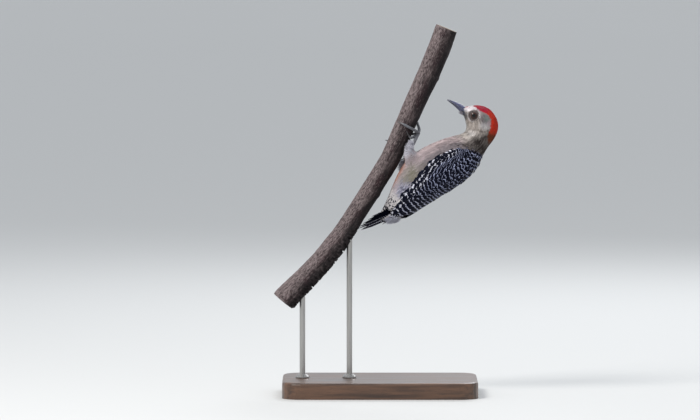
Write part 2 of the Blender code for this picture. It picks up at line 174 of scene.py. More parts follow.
def shell(parts, voxel, rounds):
    """One closed, smoothed surface round the solids named: its mesh, points and normals."""
    bm = bmesh.new()
    for part in parts:
        bm.from_mesh(nodes[part].data)
    mesh = bpy.data.meshes.new("solids")
    bm.to_mesh(mesh)
    bm.free()
    obj = link("solids", mesh)
    remesh = obj.modifiers.new("remesh", "REMESH")
    remesh.mode, remesh.voxel_size = "VOXEL", voxel
    ease = obj.modifiers.new("smooth", "SMOOTH")
    ease.factor, ease.iterations = 0.5, rounds
    graph = bpy.context.evaluated_depsgraph_get()
    mesh = bpy.data.meshes.new_from_object(obj.evaluated_get(graph))
    bpy.data.objects.remove(obj)
    return mesh, read(mesh.vertices, "co"), read(mesh.vertex_normals, "vector")


def move(mesh, co):
    mesh.vertices.foreach_set("co", co.astype(np.float32).ravel())
    mesh.shade_smooth()


def store(mesh, name, values):
    """Three numbers for each vertex, or one repeated, as an attribute. A tone is a colour."""
    values = np.asarray(values, np.float32).reshape(len(mesh.vertices), -1) * np.ones(3, np.float32)
    if name == "tone":
        made = mesh.attributes.new(name, "FLOAT_COLOR", "POINT")
        values = np.concatenate([values, np.ones((len(values), 1), np.float32)], axis=1)
        made.data.foreach_set("color", values.ravel())
    else:
        made = mesh.attributes.new(name, "FLOAT_VECTOR", "POINT")
        made.data.foreach_set("vector", values.ravel())


def place(name, mesh, made, slot, *replaced, **values):
    """Makes a mesh a piece of the model, with the values that its material reads."""
    for key, value in values.items():
        store(mesh, key, value)
    mesh.materials.clear()
    mesh.materials.append(made)
    piece = link(name, mesh)
    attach(piece, "root")
    if replaced:
        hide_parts(*replaced)


def grid_mesh(name, co, faces):
    """A mesh from its points and its face arrays, each with its own number of corners."""
    mesh = bpy.data.meshes.new(name)
    co = np.asarray(co, np.float32).reshape(-1, 3)
    sizes = np.concatenate([np.full(len(f), f.shape[1]) for f in faces])
    corners = np.concatenate([f.ravel() for f in faces])
    mesh.vertices.add(len(co))
    mesh.vertices.foreach_set("co", co.ravel())
    mesh.loops.add(len(corners))
    mesh.loops.foreach_set("vertex_index", corners.astype(np.int32))
    mesh.polygons.add(len(sizes))
    mesh.polygons.foreach_set("loop_start", np.concatenate([[0], np.cumsum(sizes)[:-1]]).astype(np.int32))
    mesh.update(calc_edges=True)
    mesh.validate()
    mesh.shade_smooth()
    return mesh


def tube_faces(rings, around):
    """Quads of a closed tube of rings, and its two end caps."""
    k, j = np.meshgrid(np.arange(rings - 1), np.arange(around), indexing="ij")
    here, beside = k * around + j, k * around + (j + 1) % around
    quads = np.stack([here, beside, beside + around, here + around], -1).reshape(-1, 4)
    return quads, np.stack([np.arange(around)[::-1], (rings - 1) * around + np.arange(around)])


def bumps(position, size, seed):
    """Soft noise from -1 to 1, from a few seeded waves at each of three scales."""
    waves = np.random.default_rng(seed)
    total = 0
    for octave in range(3):
        for _ in range(6):
            direction = unit(waves.normal(size=3)) * math.tau / (size * waves.uniform(0.7, 1.5))
            total = total + np.sin(position @ (direction * 2**octave) + waves.uniform(0, 9)) / 2**octave
    return total / 7.0


# ---- materials


class Value:
    """A node's output. Arithmetic with it adds Math nodes."""

    def __init__(self, graph, socket):
        self.graph, self.socket = graph, socket

    def __abs__(self):
        return self.graph.math("ABSOLUTE", self)


for sign, operation in (("add", "ADD"), ("sub", "SUBTRACT"), ("mul", "MULTIPLY"), ("pow", "POWER")):
    setattr(Value, f"__{sign}__", lambda self, other, kind=operation: self.graph.math(kind, self, other))
    setattr(Value, f"__r{sign}__", lambda self, other, kind=operation: self.graph.math(kind, other, self))


class Graph:
    """A new material, and short calls that add nodes to it and link them to its shader."""

    def __init__(self, name, roughness, **sockets):
        self.made = bpy.data.materials.new(name)
        self.made.use_nodes = True
        self.tree = self.made.node_tree
        self.shader = self.tree.nodes["Principled BSDF"]
        self.shader.inputs["Roughness"].default_value = roughness
        for socket, value in sockets.items():
            self.shader.inputs[socket.replace("_", " ")].default_value = value

    def node(self, kind, *inputs, output=0, **settings):
        added = self.tree.nodes.new("ShaderNode" + kind)
        for key, value in settings.items():
            setattr(added, key, value)
        for value, socket in zip(inputs, added.inputs):
            self.put(value, socket)
        return Value(self, added.outputs[output])

    def put(self, value, socket):
        if isinstance(value, Value):
            self.tree.links.new(value.socket, socket)
        elif value is not None:
            socket.default_value = (*value, 1) if socket.type == "RGBA" else value

    def attribute(self, name, output=1):
        return self.node("Attribute", attribute_name=name, output=output)

    def split(self, name):
        """The three numbers of an attribute."""
        apart = self.node("SeparateXYZ", self.attribute(name)).socket.node
        return [Value(self, socket) for socket in apart.outputs]

    def math(self, operation, a, b=None, clamp=False):
        return self.node("Math", a, b, operation=operation, use_clamp=clamp)

    def step(self, low, high, value):
        """0 below low, 1 above high, smooth between."""
        return self.node("MapRange", value, low, high, 0.0, 1.0, interpolation_type="SMOOTHSTEP")

    def mix(self, share, a, b, blend="MIX"):
        added = self.tree.nodes.new("ShaderNodeMix")
        added.data_type, added.blend_type = "RGBA", blend
        for value, index in ((share, 0), (a, 6), (b, 7)):
            self.put(value, added.inputs[index])
        return Value(self, added.outputs[2])

    def layered(self, base, *layers):
        """A colour with others laid over it in turn, each given as its share and its colour."""
        for share, colour in layers:
            base = self.mix(share, base, colour)
        return base

    def barred(self, phase, half):
        """Bars of the mesh's tone, of that half width, with black between them."""
        off = abs(self.math("FRACT", phase) - 0.5) * 2.0
        return self.mix(self.step(-0.05, 0.07, off - half), self.attribute("tone", output=0), BLACK)

    def noise(self, scale, detail=3.0, vector=None, roughness=0.55):
        return self.node("TexNoise", vector, None, scale, detail, roughness)

    def cells(self, scale, vector=None):
        """The distance to the nearest edge between uneven cells."""
        return self.node("TexVoronoi", vector, None, scale, feature="DISTANCE_TO_EDGE")

    def scaled(self, vector, scales):
        return self.node("VectorMath", vector, scales, operation="MULTIPLY")

    def grain(self, scales, detail, roughness=0.55):
        """Noise drawn out along the object's axes."""
        return self.noise(1.0, detail, self.scaled(self.node("TexCoord", output=3), scales), roughness)

    def finish(self, colour, height=None, strength=0.0, distance=0.0001):
        """Links the colour and a bump of that strength and depth, and gives the material."""
        self.put(colour, self.shader.inputs["Base Color"])
        if height:
            bump = self.node("Bump", strength, distance, None, height)
            self.put(bump, self.shader.inputs["Normal"])
        return self.made

    def rough(self, value, low, high, start=0.3, end=0.7):
        """Roughness from low to high where a value runs from start to end."""
        self.put(self.node("MapRange", value, start, end, low, high), self.shader.inputs["Roughness"])


def plumage_material(name, barb_scale, slant=0.35, quill=0.0, roughness=0.62, gloss=0.03):
    """Feathers. The mesh gives tone (light colour), mark (bar phase, half width of the light bar)
    and vane (across, along, chance)."""
    g = Graph(name, roughness, Specular_IOR_Level=gloss)
    across, along, chance = g.split("vane")
    phase, half, _ = g.split("mark")
    base = g.barred(phase + (g.noise(900.0) - 0.5) * 0.16, half)
    # barbs run forward from the shaft on both sides
    lines = along * barb_scale + abs(across) * (-slant * barb_scale)
    barbs = g.math("SINE", lines + g.noise(2500.0) * 5.0)
    value = barbs * 0.1 + chance * 0.13 + 0.92
    base = g.mix(1.0, base, g.node("CombineXYZ", value, value, value), blend="MULTIPLY")
    if quill:
        base = g.mix(g.step(0.07, 0.02, abs(across)) * quill, base, (0.22, 0.2, 0.19))
    return g.finish(base, barbs, 0.25)


def horn_material(name, dark, pale, roughness, streak):
    """Horn of the bill and claws. tint makes it paler."""
    g = Graph(name, roughness, Coat_Weight=0.15, Coat_Roughness=0.3)
    grain = g.grain(streak, 4.0)
    g.rough(grain, roughness - 0.06, roughness + 0.1)
    share = g.math("ADD", (grain - 0.5) * 0.5, g.attribute("tint"), clamp=True)
    return g.finish(g.mix(share, dark, pale), grain, 0.2)


def bark_material():
    """Grey-brown bark, streaked lengthwise. bark is a place on the straightened branch, and relief
    says how far it stands out, how far it is on the lower side, which gets painted shade, and how
    far on the upper side, which gets painted light."""
    g = Graph("bark", 0.85, Specular_IOR_Level=0.25)
    straight = g.attribute("bark")

    def streaks(along, round_, detail):
        return g.noise(1.0, detail, g.scaled(straight, (along, round_, round_)), 0.65)

    grain, patches, fine = streaks(60.0, 420.0, 6.0), streaks(60.0, 120.0, 5.0), streaks(380.0, 1500.0, 5.0)
    cracks = g.cells(1.0, g.scaled(straight, (110.0, 520.0, 520.0)))
    relief, under, lit_side = g.split("relief")
    base = g.mix(g.step(0.34, 0.66, grain), (0.014, 0.008, 0.009), (0.06, 0.04, 0.041))
    # The near-black colour of the painted shade on the branch's lower side.
    lower_side_shade = g.mix(g.step(0.4, 0.6, patches), (0.006, 0.005, 0.006), (0.017, 0.014, 0.015))
    base = g.layered(
        base,
        (g.step(0.5, 0.62, patches) * 0.65, (0.12, 0.092, 0.091)),
        (g.step(0.5, 0.38, patches) * 0.75, (0.034, 0.014, 0.018)),
        (g.step(0.07, 0.0, cracks) * 0.4, (0.011, 0.008, 0.008)),
        (g.step(0.52, 0.64, fine) * 0.55, (0.23, 0.185, 0.182)),
        # Painted shade in the low furrows, and a painted highlight on raised ridges and flakes, but not on
        # the lower side.
        (g.step(-0.15, -0.5, relief) * 0.6, (0.014, 0.01, 0.01)),
        (g.step(0.6, 1.0, relief) * (1.0 - under) * 0.6, (0.26, 0.21, 0.205)),
        # Painted light on the branch's upper side, and painted shade on its lower side.
        (lit_side * g.step(0.4, 0.56, fine) * 0.75, (0.24, 0.192, 0.19)),
        (under * 0.8, lower_side_shade))
    g.rough(fine, 0.72, 0.97, 0.2, 0.8)
    return g.finish(base, fine * 0.6 + g.step(0.0, 0.12, cracks) * 0.4 + grain, 0.8, 0.0005)


def sawn_material():
    """A sawn end. bark's third number runs from 0 at the pith to 1 at the rim."""
    g = Graph("sawn_wood", 0.8)
    out = g.split("bark")[2]
    rings = g.math("SINE", out**0.8 * 74.0 + (g.noise(110.0) * 13.0 + g.noise(600.0) * 3.0))
    base = g.layered(
        g.mix(g.step(-0.8, 1.0, rings), (0.34, 0.24, 0.15), (0.46, 0.35, 0.235)),
        (g.step(0.45, 0.2, out) * 0.5, (0.25, 0.15, 0.09)),
        (g.step(0.58, 0.7, g.noise(260.0, 4.0)), (0.26, 0.2, 0.15)),
        (g.step(0.93, 0.97, out), (0.05, 0.032, 0.025)))
    return g.finish(base, rings + g.noise(1500.0) * 1.5, 0.35, 0.0002)


def wood_material():
    g = Graph("base_wood", 0.38, Coat_Weight=0.25, Coat_Roughness=0.25)
    grain, pores = g.grain((14.0, 190.0, 190.0), 5.0, 0.6), g.grain((160.0, 2600.0, 2600.0), 2.0, 0.5)
    base = g.mix(g.step(0.3, 0.7, grain), (0.036, 0.016, 0.008), (0.13, 0.062, 0.032))
    base = g.mix(g.step(0.55, 0.75, pores) * 0.6, base, (0.02, 0.009, 0.005))
    g.rough(grain, 0.3, 0.46)
    return g.finish(base, pores + grain, 0.15, 0.0002)


def metal_material():
    g = Graph("rod_metal", 0.3, Metallic=1.0)
    brushed = g.grain((1500.0, 1500.0, 40.0), 3.0, 0.5)
    g.rough(brushed, 0.22, 0.4)
    return g.finish(g.mix(brushed, (0.3, 0.29, 0.28), (0.52, 0.51, 0.49)), brushed, 0.08)


def skin_material():
    """The skin under the feathers, with the plumage's markings."""
    g = Graph("skin", 0.75)
    phase, half, _ = g.split("mark")
    down = g.noise(1400.0, 4.0)
    return g.finish(g.mix(down * 0.5, g.barred(phase, half), (0.1, 0.09, 0.085)), down, 0.5, 0.0003)


def foot_material():
    """Scaly skin. tint runs along a toe in rings (x), and is 1 on its horny upper side (y)."""
    g = Graph("foot_skin", 0.55, Specular_IOR_Level=0.4)
    mottle = g.noise(700.0, 4.0)
    ring, upper, _ = g.split("tint")
    off = abs(g.math("FRACT", ring + (g.noise(450.0) - 0.5) * 0.5) - 0.5)
    pebble = g.step(0.12, 0.0, g.cells(2200.0)) * (1.0 - upper)
    seam = g.math("MAXIMUM", g.step(0.14, 0.0, off) * upper, pebble * 0.7)
    base = g.mix(g.step(0.35, 0.65, mottle), (0.085, 0.087, 0.098), (0.2, 0.203, 0.226))
    g.rough(mottle, 0.45, 0.65)
    return g.finish(g.mix(seam * 0.75, base, (0.03, 0.03, 0.034)), mottle * 0.3 - seam, 0.7, 0.0002)


def lid_material():
    g = Graph("eyelid_skin", 0.6, Subsurface_Weight=0.1, Subsurface_Radius=(0.001, 0.0005, 0.0004))
    mottle = g.noise(1600.0, 4.0)
    base = g.mix(g.step(0.3, 0.7, mottle), (0.06, 0.045, 0.043), (0.15, 0.115, 0.11))
    # Low tint is dark: the ring's inner and outer rows, and painted shade in the troughs between the folds.
    base = g.mix(g.step(0.3, 0.75, g.attribute("tint")), (0.02, 0.014, 0.013), base)
    return g.finish(base, mottle, 0.5)


def eye_material():
    """tint runs from 0 at the pupil's middle to 1 at the eyeball's side."""
    g = Graph("eyeball", 0.12, Coat_Weight=0.25, Coat_Roughness=0.03, Specular_IOR_Level=0.2)
    out = g.attribute("tint")
    iris = g.mix(g.step(0.35, 0.65, g.noise(1300.0, 5.0)), (0.02, 0.007, 0.005), (0.07, 0.026, 0.018))
    base = g.mix(g.step(0.27, 0.3, out), (0.002, 0.0015, 0.0015), iris)
    return g.finish(g.mix(g.step(0.42, 0.55, out), base, (0.012, 0.007, 0.006)))


# ---- the body's form


class Form:
    """An outer surface as a table of points, at a distance along a spine and an angle round it.

    The angle is 0 on the back and grows towards the bird's left. Distances run from the tail."""

    def __init__(self, mesh, guide, lateral, reach, inside_from, rows=220, columns=96, rounds=2, median=0):
        self.tree = tree_of(mesh)
        self.rows, self.columns = rows, columns
        line = catmull(guide, np.linspace(0, len(guide) - 1, rows))
        for round_ in range(rounds + 1):
            self.set_spine(line, lateral)
            self.cast(reach, inside_from)
            if round_ < rounds:
                centres = self.table[:, :-1].mean(1)
                weight = np.sin(np.linspace(0, np.pi, rows))[:, None] ** 0.5
                line = self.line + (centres - self.line) * 0.7 * weight
                for _ in range(60):
                    line[1:-1] += 0.5 * ((line[:-2] + line[2:]) / 2 - line[1:-1])
        if median:
            self.drop_pits(median)
        for _ in range(3):
            self.table[1:-1] += 0.4 * ((self.table[:-2] + self.table[2:]) / 2 - self.table[1:-1])
            ring = self.table[:, :-1]
            ring += 0.4 * ((np.roll(ring, 1, 1) + np.roll(ring, -1, 1)) / 2 - ring)
            self.table[:, -1] = ring[:, 0]
        self.along = np.gradient(self.table, self.distance, axis=0)
        wrapped = np.concatenate([self.table[:, -2:-1], self.table, self.table[:, 1:2]], axis=1)
        self.around = (wrapped[:, 2:] - wrapped[:, :-2]) / (2 * math.tau / columns)
        self.normal = unit(np.cross(self.around, self.along))
        outward = ((self.table - self.line[:, None]) * self.normal).sum(-1).mean()
        self.normal *= np.sign(outward)

    def set_spine(self, line, lateral):
        steps = np.linalg.norm(np.diff(line, axis=0), axis=1)
        distance = np.concatenate([[0], np.cumsum(steps)])
        even = np.linspace(0, distance[-1], self.rows)
        self.line = np.stack([np.interp(even, distance, line[:, k]) for k in range(3)], 1)
        self.distance, self.length = even, even[-1]
        self.tangent = unit(np.gradient(self.line, axis=0))
        side = lateral(even / even[-1])
        self.side = unit(side - (side * self.tangent).sum(1, keepdims=True) * self.tangent)
        self.back = np.cross(self.tangent, self.side)

    def cast(self, reach, inside_from):
        """Finds the surface from outside, and from inside beyond that share of the spine."""
        angles = np.linspace(-math.pi, math.pi, self.columns + 1)
        self.table = np.zeros((self.rows, self.columns + 1, 3))
        for i in range(self.rows):
            inside = self.distance[i] > inside_from * self.length
            for j, angle in enumerate(angles[:-1]):
                way = math.cos(angle) * self.back[i] + math.sin(angle) * self.side[i]
                start, towards = (self.line[i], way) if inside else (self.line[i] + way * reach, -way)
                hit = self.tree.ray_cast(Vector(start), Vector(towards), reach)[0]
                self.table[i, j] = hit or self.line[i] + way * self.radius(i - 1, j)
            self.table[i, -1] = self.table[i, 0]

    def radius(self, i, j):
        """A radius of the table, or a small one before its first row."""
        return np.linalg.norm(self.table[i, j] - self.line[i]) if i >= 0 else 0.5 * MM

    def drop_pits(self, window):
        """Replaces each radius by the middle one of its neighbours, which closes bored holes."""
        out = self.table - self.line[:, None]
        radius = np.linalg.norm(out, axis=-1)
        near = np.clip(np.arange(self.rows)[:, None] + np.arange(-window, window + 1), 0, self.rows - 1)
        even = np.median(radius[near], axis=1)
        self.table = self.line[:, None] + out * (even / np.maximum(radius, 1e-9))[..., None]

    def look_up(self, table, d, a):
        """Bilinear values of a table at distances d and angles a."""
        a = (a + math.pi) % math.tau
        i = np.clip(d / self.length * (self.rows - 1), 0, self.rows - 1.001)
        j = np.clip(a / math.tau * self.columns, 0, self.columns - 0.001)
        i0, j0 = i.astype(int), j.astype(int)
        fi, fj = (i - i0)[..., None], (j - j0)[..., None]
        return ((table[i0, j0] * (1 - fi) + table[i0 + 1, j0] * fi) * (1 - fj)
                + (table[i0, j0 + 1] * (1 - fi) + table[i0 + 1, j0 + 1] * fi) * fj)

    def point(self, d, a, lift=0.0):
        """Points of the surface raised by lift, and normals. Past both ends it goes straight on."""
        normal = unit(self.look_up(self.normal, d, a))
        past = (np.minimum(d, 0)[..., None] * self.tangent[0]
                + np.maximum(d - self.length, 0)[..., None] * self.tangent[-1])
        return self.look_up(self.table, d, a) + past + normal * np.asarray(lift)[..., None], normal

    def stretch(self, d, a):
        """How far the surface runs for a metre along the spine, and for a radian round it."""
        return [np.linalg.norm(self.look_up(table, d, a), axis=-1) for table in (self.along, self.around)]

    def locate(self, co):
        """The distance and angle of each point."""
        d, a = np.empty(len(co)), np.empty(len(co))
        for start in range(0, len(co), 4000):
            rows = slice(start, start + 4000)
            i = ((co[rows, None] - self.line[None]) ** 2).sum(-1).argmin(1)
            off = co[rows] - self.line[i]
            d[rows] = self.distance[i] + (off * self.tangent[i]).sum(1)
            a[rows] = np.arctan2((off * self.side[i]).sum(1), (off * self.back[i]).sum(1))
        return d, a


def body_form():
    parts = ["trunk", "neck", "head", "eye_left", "eye_right",
             "wing_left", "wing_right", "primaries_left", "primaries_right"]
    whole, _, _ = shell(parts, 0.7 * MM, 3)
    head, trunk = points_of("head").mean(0), points_of("trunk")
    to_head = unit(middle("neck") - middle("trunk"))
    reach = trunk @ to_head
    tail_end = trunk[reach < reach.min() + 2.5 * MM].mean(0)
    bills = np.concatenate([points_of("bill_upper"), points_of("bill_lower")])
    near = away(bills, head)
    face = bills[near < near.min() + 1.5 * MM].mean(0)
    guide = [tail_end + to_head * 1.0 * MM, trunk.mean(0), middle("neck"), head, face]
    wings = unit(middle("wing_left") - middle("wing_right"))

    def lateral(share):
        return wings + (to_left - wings) * smooth(0.62, 0.8, share)[:, None]

    return Form(whole, guide, lateral, 34 * MM, 0.6)


to_left = unit(middle("eye_left") - middle("eye_right"))
eye_middle = (middle("eye_left") + middle("eye_right")) / 2
eye_radius = max(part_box("eye_left")[1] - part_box("eye_left")[0]) / 2
body = body_form()


# ---- the plumage's markings

# Along the body, in distances from the tail end; round it, in degrees from the back.
RUMP_TURN = np.array([0, 19, 30, 45, 60])
RUMP_END = np.array([11, 9.5, 7, 5, 3.5]) * MM
PLUMAGE_BACK_END = 96 * MM
EDGE_AT = np.array([0, 4.3, 6.7, 9.8, 15, 45, 51, 57, 63, 74, 82, 90, 96]) * MM
EDGE_ANGLE = np.array([56, 64, 70, 80, 90, 92, 99, 105, 109, 110, 106, 96, 70])
BAR_AT = np.array([-10, 24, 36, 45, 100]) * MM
BAR_PERIOD = np.array([4.4, 4.1, 3.2, 3.1, 3.7]) * MM
# A bar that starts at BAR_EDGE on the wing's leading edge crosses the wing's middle at BAR_MIDDLE.
BAR_EDGE = np.array([-10, 10, 20, 30, 41, 47, 54, 61.6, 69, 75, 80, 84, 87, 89, 91, 94, 140]) * MM
BAR_MIDDLE = np.array([-10, 9, 18, 27, 36, 40.5, 44.5, 48.5, 53, 58, 62, 66, 72, 79, 88, 93, 139]) * MM
SWEEP_TURN = np.array([0, 20, 45, 60, 70, 80, 86, 92])
SWEEP = np.array([0.8, 0.93, 1.0, 0.93, 0.78, 0.45, 0.1, 0])
# Two rows of white spots, that far inside the wing's leading edge.
SPOT_ROWS = (1.4 * MM, 4.9 * MM)
SPOT_HALF = 0.75 * MM
# The red cap beside the eyes in side view: its front edge is a line, and its back edge a curve.
CAP_SLOPE, CAP_LIFT = 0.63, 7.85 * MM
CAP_HEIGHT = np.array([-20, -17, -13.6, -10, -6, -2, 0.8]) * MM
CAP_BACK = np.array([11.5, 12.0, 13.1, 14.1, 14.6, 14.1, 12.0]) * MM


def wing_edge(d):
    """The wing's leading edge, as an angle in degrees."""
    return np.interp(d, EDGE_AT, EDGE_ANGLE)


def inside_edge(d, a):
    """How far a place lies inside the wing's leading edge, round the body."""
    return np.radians(wing_edge(d) - turned(a)) * body.stretch(d, a)[1]


def is_barred(d, a):
    turn = turned(a)
    return (d < PLUMAGE_BACK_END) & (turn < wing_edge(d)) & (d > np.interp(turn, RUMP_TURN, RUMP_END))


def bar_phase(d, a, co):
    """Counts bars from the tail, with one more for each period. They slant from the wing's edge back
    towards the tail, and forward again near the spine."""
    even = np.linspace(BAR_AT[0], BAR_AT[-1], 200)
    count = np.cumsum((even[1] - even[0]) / np.interp(even, BAR_AT, BAR_PERIOD))
    middle_d = np.interp(d, BAR_EDGE, BAR_MIDDLE)
    crossed = middle_d + (d - middle_d) * np.interp(turned(a), SWEEP_TURN, SWEEP)
    return np.interp(crossed, even, count) + 0.3 * bumps(co, 8 * MM, 5) + 0.2 * bumps(co, 4 * MM, 6)


def bar_share(d, a):
    """The light bars' share, with two rows of broad spots along the wing's leading edge."""
    share = 0.16 + 0.06 * smooth(66 * MM, 86 * MM, d)
    inward = inside_edge(d, a)
    spots = np.maximum(*(1 - ((inward - row) / SPOT_HALF) ** 2 for row in SPOT_ROWS))
    rows = smooth(SPOT_ROWS[1] + 2.2 * MM, SPOT_ROWS[1] + 0.6 * MM, inward) * smooth(88 * MM, 80 * MM, d)
    return share + rows * (np.where(spots > 0, 0.38, -0.03) - share)


def bar_tone(d, a):
    """The light bars' colour: white near the wing's edge and tip, bluish elsewhere."""
    edge = smooth(10 * MM, 5 * MM, inside_edge(d, a)) * smooth(90 * MM, 78 * MM, d)
    return mix(BLUISH_BAR, WHITE_BAR, np.maximum(edge, 0.25 + 0.3 * smooth(46 * MM, 26 * MM, d)))


def cap_share(co):
    """1 in the red of the crown and nape, from a point's place beside the eyes in side view."""
    x, z = (co[..., 0] - eye_middle[0]), (co[..., 2] - eye_middle[2])
    front = z + CAP_SLOPE * x - CAP_LIFT
    back = x - np.interp(z, CAP_HEIGHT, CAP_BACK)
    return smooth(-0.6 * MM, 0.6 * MM, np.maximum(front, back) + 1.1 * MM * bumps(co, 2.2 * MM, 9))


def streaks(d, a):
    """Noise drawn out along the lie of the feathers, for distances in mm and angles in radians."""
    drawn = np.stack([d * 0.26, a * 9.0, 0 * d], -1)
    return 0.8 * bumps(drawn, 1.7, 8) + 0.45 * bumps(drawn, 0.8, 18)


def face_tone(tone, d, turn, x, z, streak):
    """The head's markings, with painted shade on the lower neck and in a cheek crease and a painted
    highlight round the eye, from places in mm beside the eye: x back along the head, z up.
    """
    def spot(outer, inner, across, up):
        return smooth(outer, inner, np.hypot(across, up))

    # Painted shade: the neck's lower side, turned away from the light, darkened over its dusky grey-brown
    # plumage.
    neck = smooth(87, 95, d) * smooth(111, 102, d) * smooth(118, 84, turn)
    neck = np.maximum(neck, smooth(-14.5, -20.0, z - 0.3 * (x - 6)) * smooth(124, 92, turn) * (d > 90))
    dusky_and_shade = mix(PALE_DUSKY_AND_SHADE, DUSKY_AND_SHADE, smooth(-5, 4, x + 3 * streak))
    smile = z + 14.1 - 0.05 * (x - 8.0) ** 2
    brow = smooth(3.9, 4.7, z - 0.2 * x) * smooth(6.5, 2.0, x)
    lore = smooth(-3.6, -4.6, x) * smooth(5.0, 6.2, z)
    # A painted highlight: pale glints in arcs round the eye's bare ring, in the pale ear colour.
    glint = smooth(0.9, 0.3, np.abs(np.hypot(x, z) - 5.3))
    glint_arcs = np.maximum(smooth(2.0, 4.0, x) * smooth(-4, -1, z), smooth(2.5, 4.0, -x - 0.6 * z))
    return layered(
        tone,
        (neck * np.clip(0.9 - 0.35 * streak, 0, 1), dusky_and_shade),
        (0.6 * spot(5.5, 1.5, (x - 9.5) * 0.8, z + 9.0), PALE_EAR),
        (0.66 * spot(7.2, 2.6, x - 9.3, z + 2.6), EAR_GREY),
        (0.8 * spot(3.4, 0.8, x - 10.8, z + 3.2), EAR_GREEN),
        (0.45 * spot(2.6, 0.8, x - 13.2, (z + 7.5) * 0.6), BROW_PINK),
        # A painted shadow along a curved crease in the cheek feathers.
        (0.8 * smooth(1.0, 0.2, np.abs(smile)) * smooth(6.5, 4.0, np.abs(x - 8.0)), CREASE_SHADOW),
        (0.25 * spot(3.6, 0.8, (x + 2.5) * 0.6, z + 15.5), PALE_EAR),
        (np.maximum(brow, lore) * smooth(-3, 1, z), FOREHEAD),
        (0.7 * spot(2.6, 1.2, (x - 5.2) * 0.6, z - 4.4), BROW_PINK),
        (0.6 * glint * glint_arcs, PALE_EAR),
        (0.75 * smooth(124, 131.0, d) * smooth(98, 118, turn), CHIN),
        (0.9 * spot(2.2, 0.9, (x + 6.8) * 0.6, z - 8.2), LORE_PINK),
        (0.7 * spot(3.2, 0.8, x + 7.2, (z - 0.5) * 0.45), LORE_GREY))


def body_tone(d, a, co):
    """Colours of the plain plumage, from the tail coverts to the bill, with painted shade below the wings'
    edges and on the lower neck, and painted light on the belly's contour.
    """
    d, turn = d / MM, turned(a)
    x, z = (co[..., 0] - eye_middle[0]) / MM, (co[..., 2] - eye_middle[2]) / MM
    patch, fine, mottle = (bumps(co, size * MM, seed) for size, seed in ((9, 3), (3, 4), (1.9, 14)))
    streak = streaks(d, a)
    beside = turn - wing_edge(d * MM)
    olive = (smooth(56, 40, d + 9 * patch + 6 * fine) * smooth(24, 36, d)
             * smooth(86, 106, turn + 9 * fine) * smooth(150, 114, turn + 16 * fine))
    red_belly = (smooth(50, 36, d + 6 * patch + 4 * fine) * smooth(12, 34, d)
                 * smooth(126, 164, turn + 12 * patch + 10 * fine))
    # The bluish-grey band of the flank below the wing's edge, partly plumage and partly painted shade under
    # the wing.
    flank_and_shade = (smooth(39, 29, d + 6 * fine) * smooth(12, 21, d)
             * smooth(128, 104, turn + 14 * patch + 10 * fine))
    tone = layered(
        BREAST,
        (smooth(66, 40, d + 6 * patch) * smooth(70, 110, turn), BELLY),
        # Painted shade: a cool dark band on the breast just below the wing's edge.
        (0.9 * smooth(37, 7, beside + 9 * patch + 5 * fine) * smooth(30, 42, d), BREAST_SHADE),
        (olive * 0.85, OLIVE))
    # Painted light: the belly's contour, which faces the light, made paler.
    lit_contour = smooth(48, 60, d) * smooth(96, 86, d) * smooth(128, 160, turn)
    tone = layered(
        tone * (1 + 0.22 * lit_contour)[..., None],
        (red_belly * 0.9, BELLY_RED),
        (flank_and_shade, FLANK_AND_SHADE),
        (flank_and_shade * smooth(0.0, 0.4, mottle) * 0.85, FLANK_DARK),
        (flank_and_shade * smooth(-0.35, -0.7, mottle) * 0.8, WHITE_BAR),
        (smooth(24, 17, d), VENT),
        (smooth(88, 100, d), THROAT),
        (smooth(104, 112, d) * smooth(150, 120, turn), FACE))
    tone = face_tone(tone, d, turn, x, z, streak)
    drawn = streak * smooth(92, 104, d) * smooth(40, 70, turn) * smooth(6, 2, z)
    tone = tone * (1 + 0.75 * drawn)[..., None]
    red = layered(
        NAPE_RED,
        (smooth(-2.0, 4.0, z - 0.55 * (x - 10)), CROWN_RED),
        (smooth(0.15, 0.7, -streak) * smooth(0.0, 4.0, z) * 0.75, CROWN_LILAC))
    red = mix(RUSTY, red, smooth(-18.0, -11.0, z + 0.3 * (x - 13) + 1.5 * streak))
    cap = cap_share(co) * smooth(-26.5, -20.5, z + 0.25 * (x - 12)) * smooth(96, 104, d)
    return mix(tone, red, cap) * (1 + 0.16 * fine + 0.1 * patch)[..., None]


# ---- feathers


def scatter(form, spacing, d_range, a_range, seed, keep=None):
    """Places on a form, at least spacing apart, as distances and angles."""
    chance = np.random.default_rng(seed)
    low, high = np.array([d_range, np.radians(a_range)]).T
    trial = low + chance.uniform(size=(4000, 2)) * (high - low)
    size = np.prod(form.stretch(*trial.T), axis=0)
    area = size.mean() * np.prod(high - low)
    places = low + chance.uniform(size=(int(5.5 * area / spacing**2), 2)) * (high - low)
    share = np.prod(form.stretch(*places.T), axis=0) / np.percentile(size, 96)
    places = places[chance.uniform(size=len(places)) < share]
    if keep is not None:
        places = places[keep(*places.T)]
    cells, chosen = {}, []
    points = form.point(*places.T)[0] / spacing
    steps = [(x, y, z) for x in (-1, 0, 1) for y in (-1, 0, 1) for z in (-1, 0, 1)]
    for i, (point, cell) in enumerate(zip(points.tolist(), np.floor(points).astype(int).tolist())):
        near = [cells.get(tuple(map(sum, zip(cell, step))), ()) for step in steps]
        if all(math.dist(point, other) > 0.86 for group in near for other in group):
            cells.setdefault(tuple(cell), []).append(point)
            chosen.append(i)
    return places[chosen].T


def section(columns):
    """Places across a closed vane, from -1 to 1 over it and back under it, and 1 where under."""
    top = np.linspace(-1, 1, columns)
    return np.concatenate([top, top[-2:0:-1]]), np.repeat([0.0, 1.0], [columns, columns - 2])


def vanes(co, u, t, chance, **more):
    """A layer of vanes: their points, and for each one its places across and along its vane."""
    spread = {key: np.broadcast_to(v, co.shape[:3]) for key, v in (("u", u), ("t", t), ("chance", chance))}
    return {"co": co, **spread, **more}


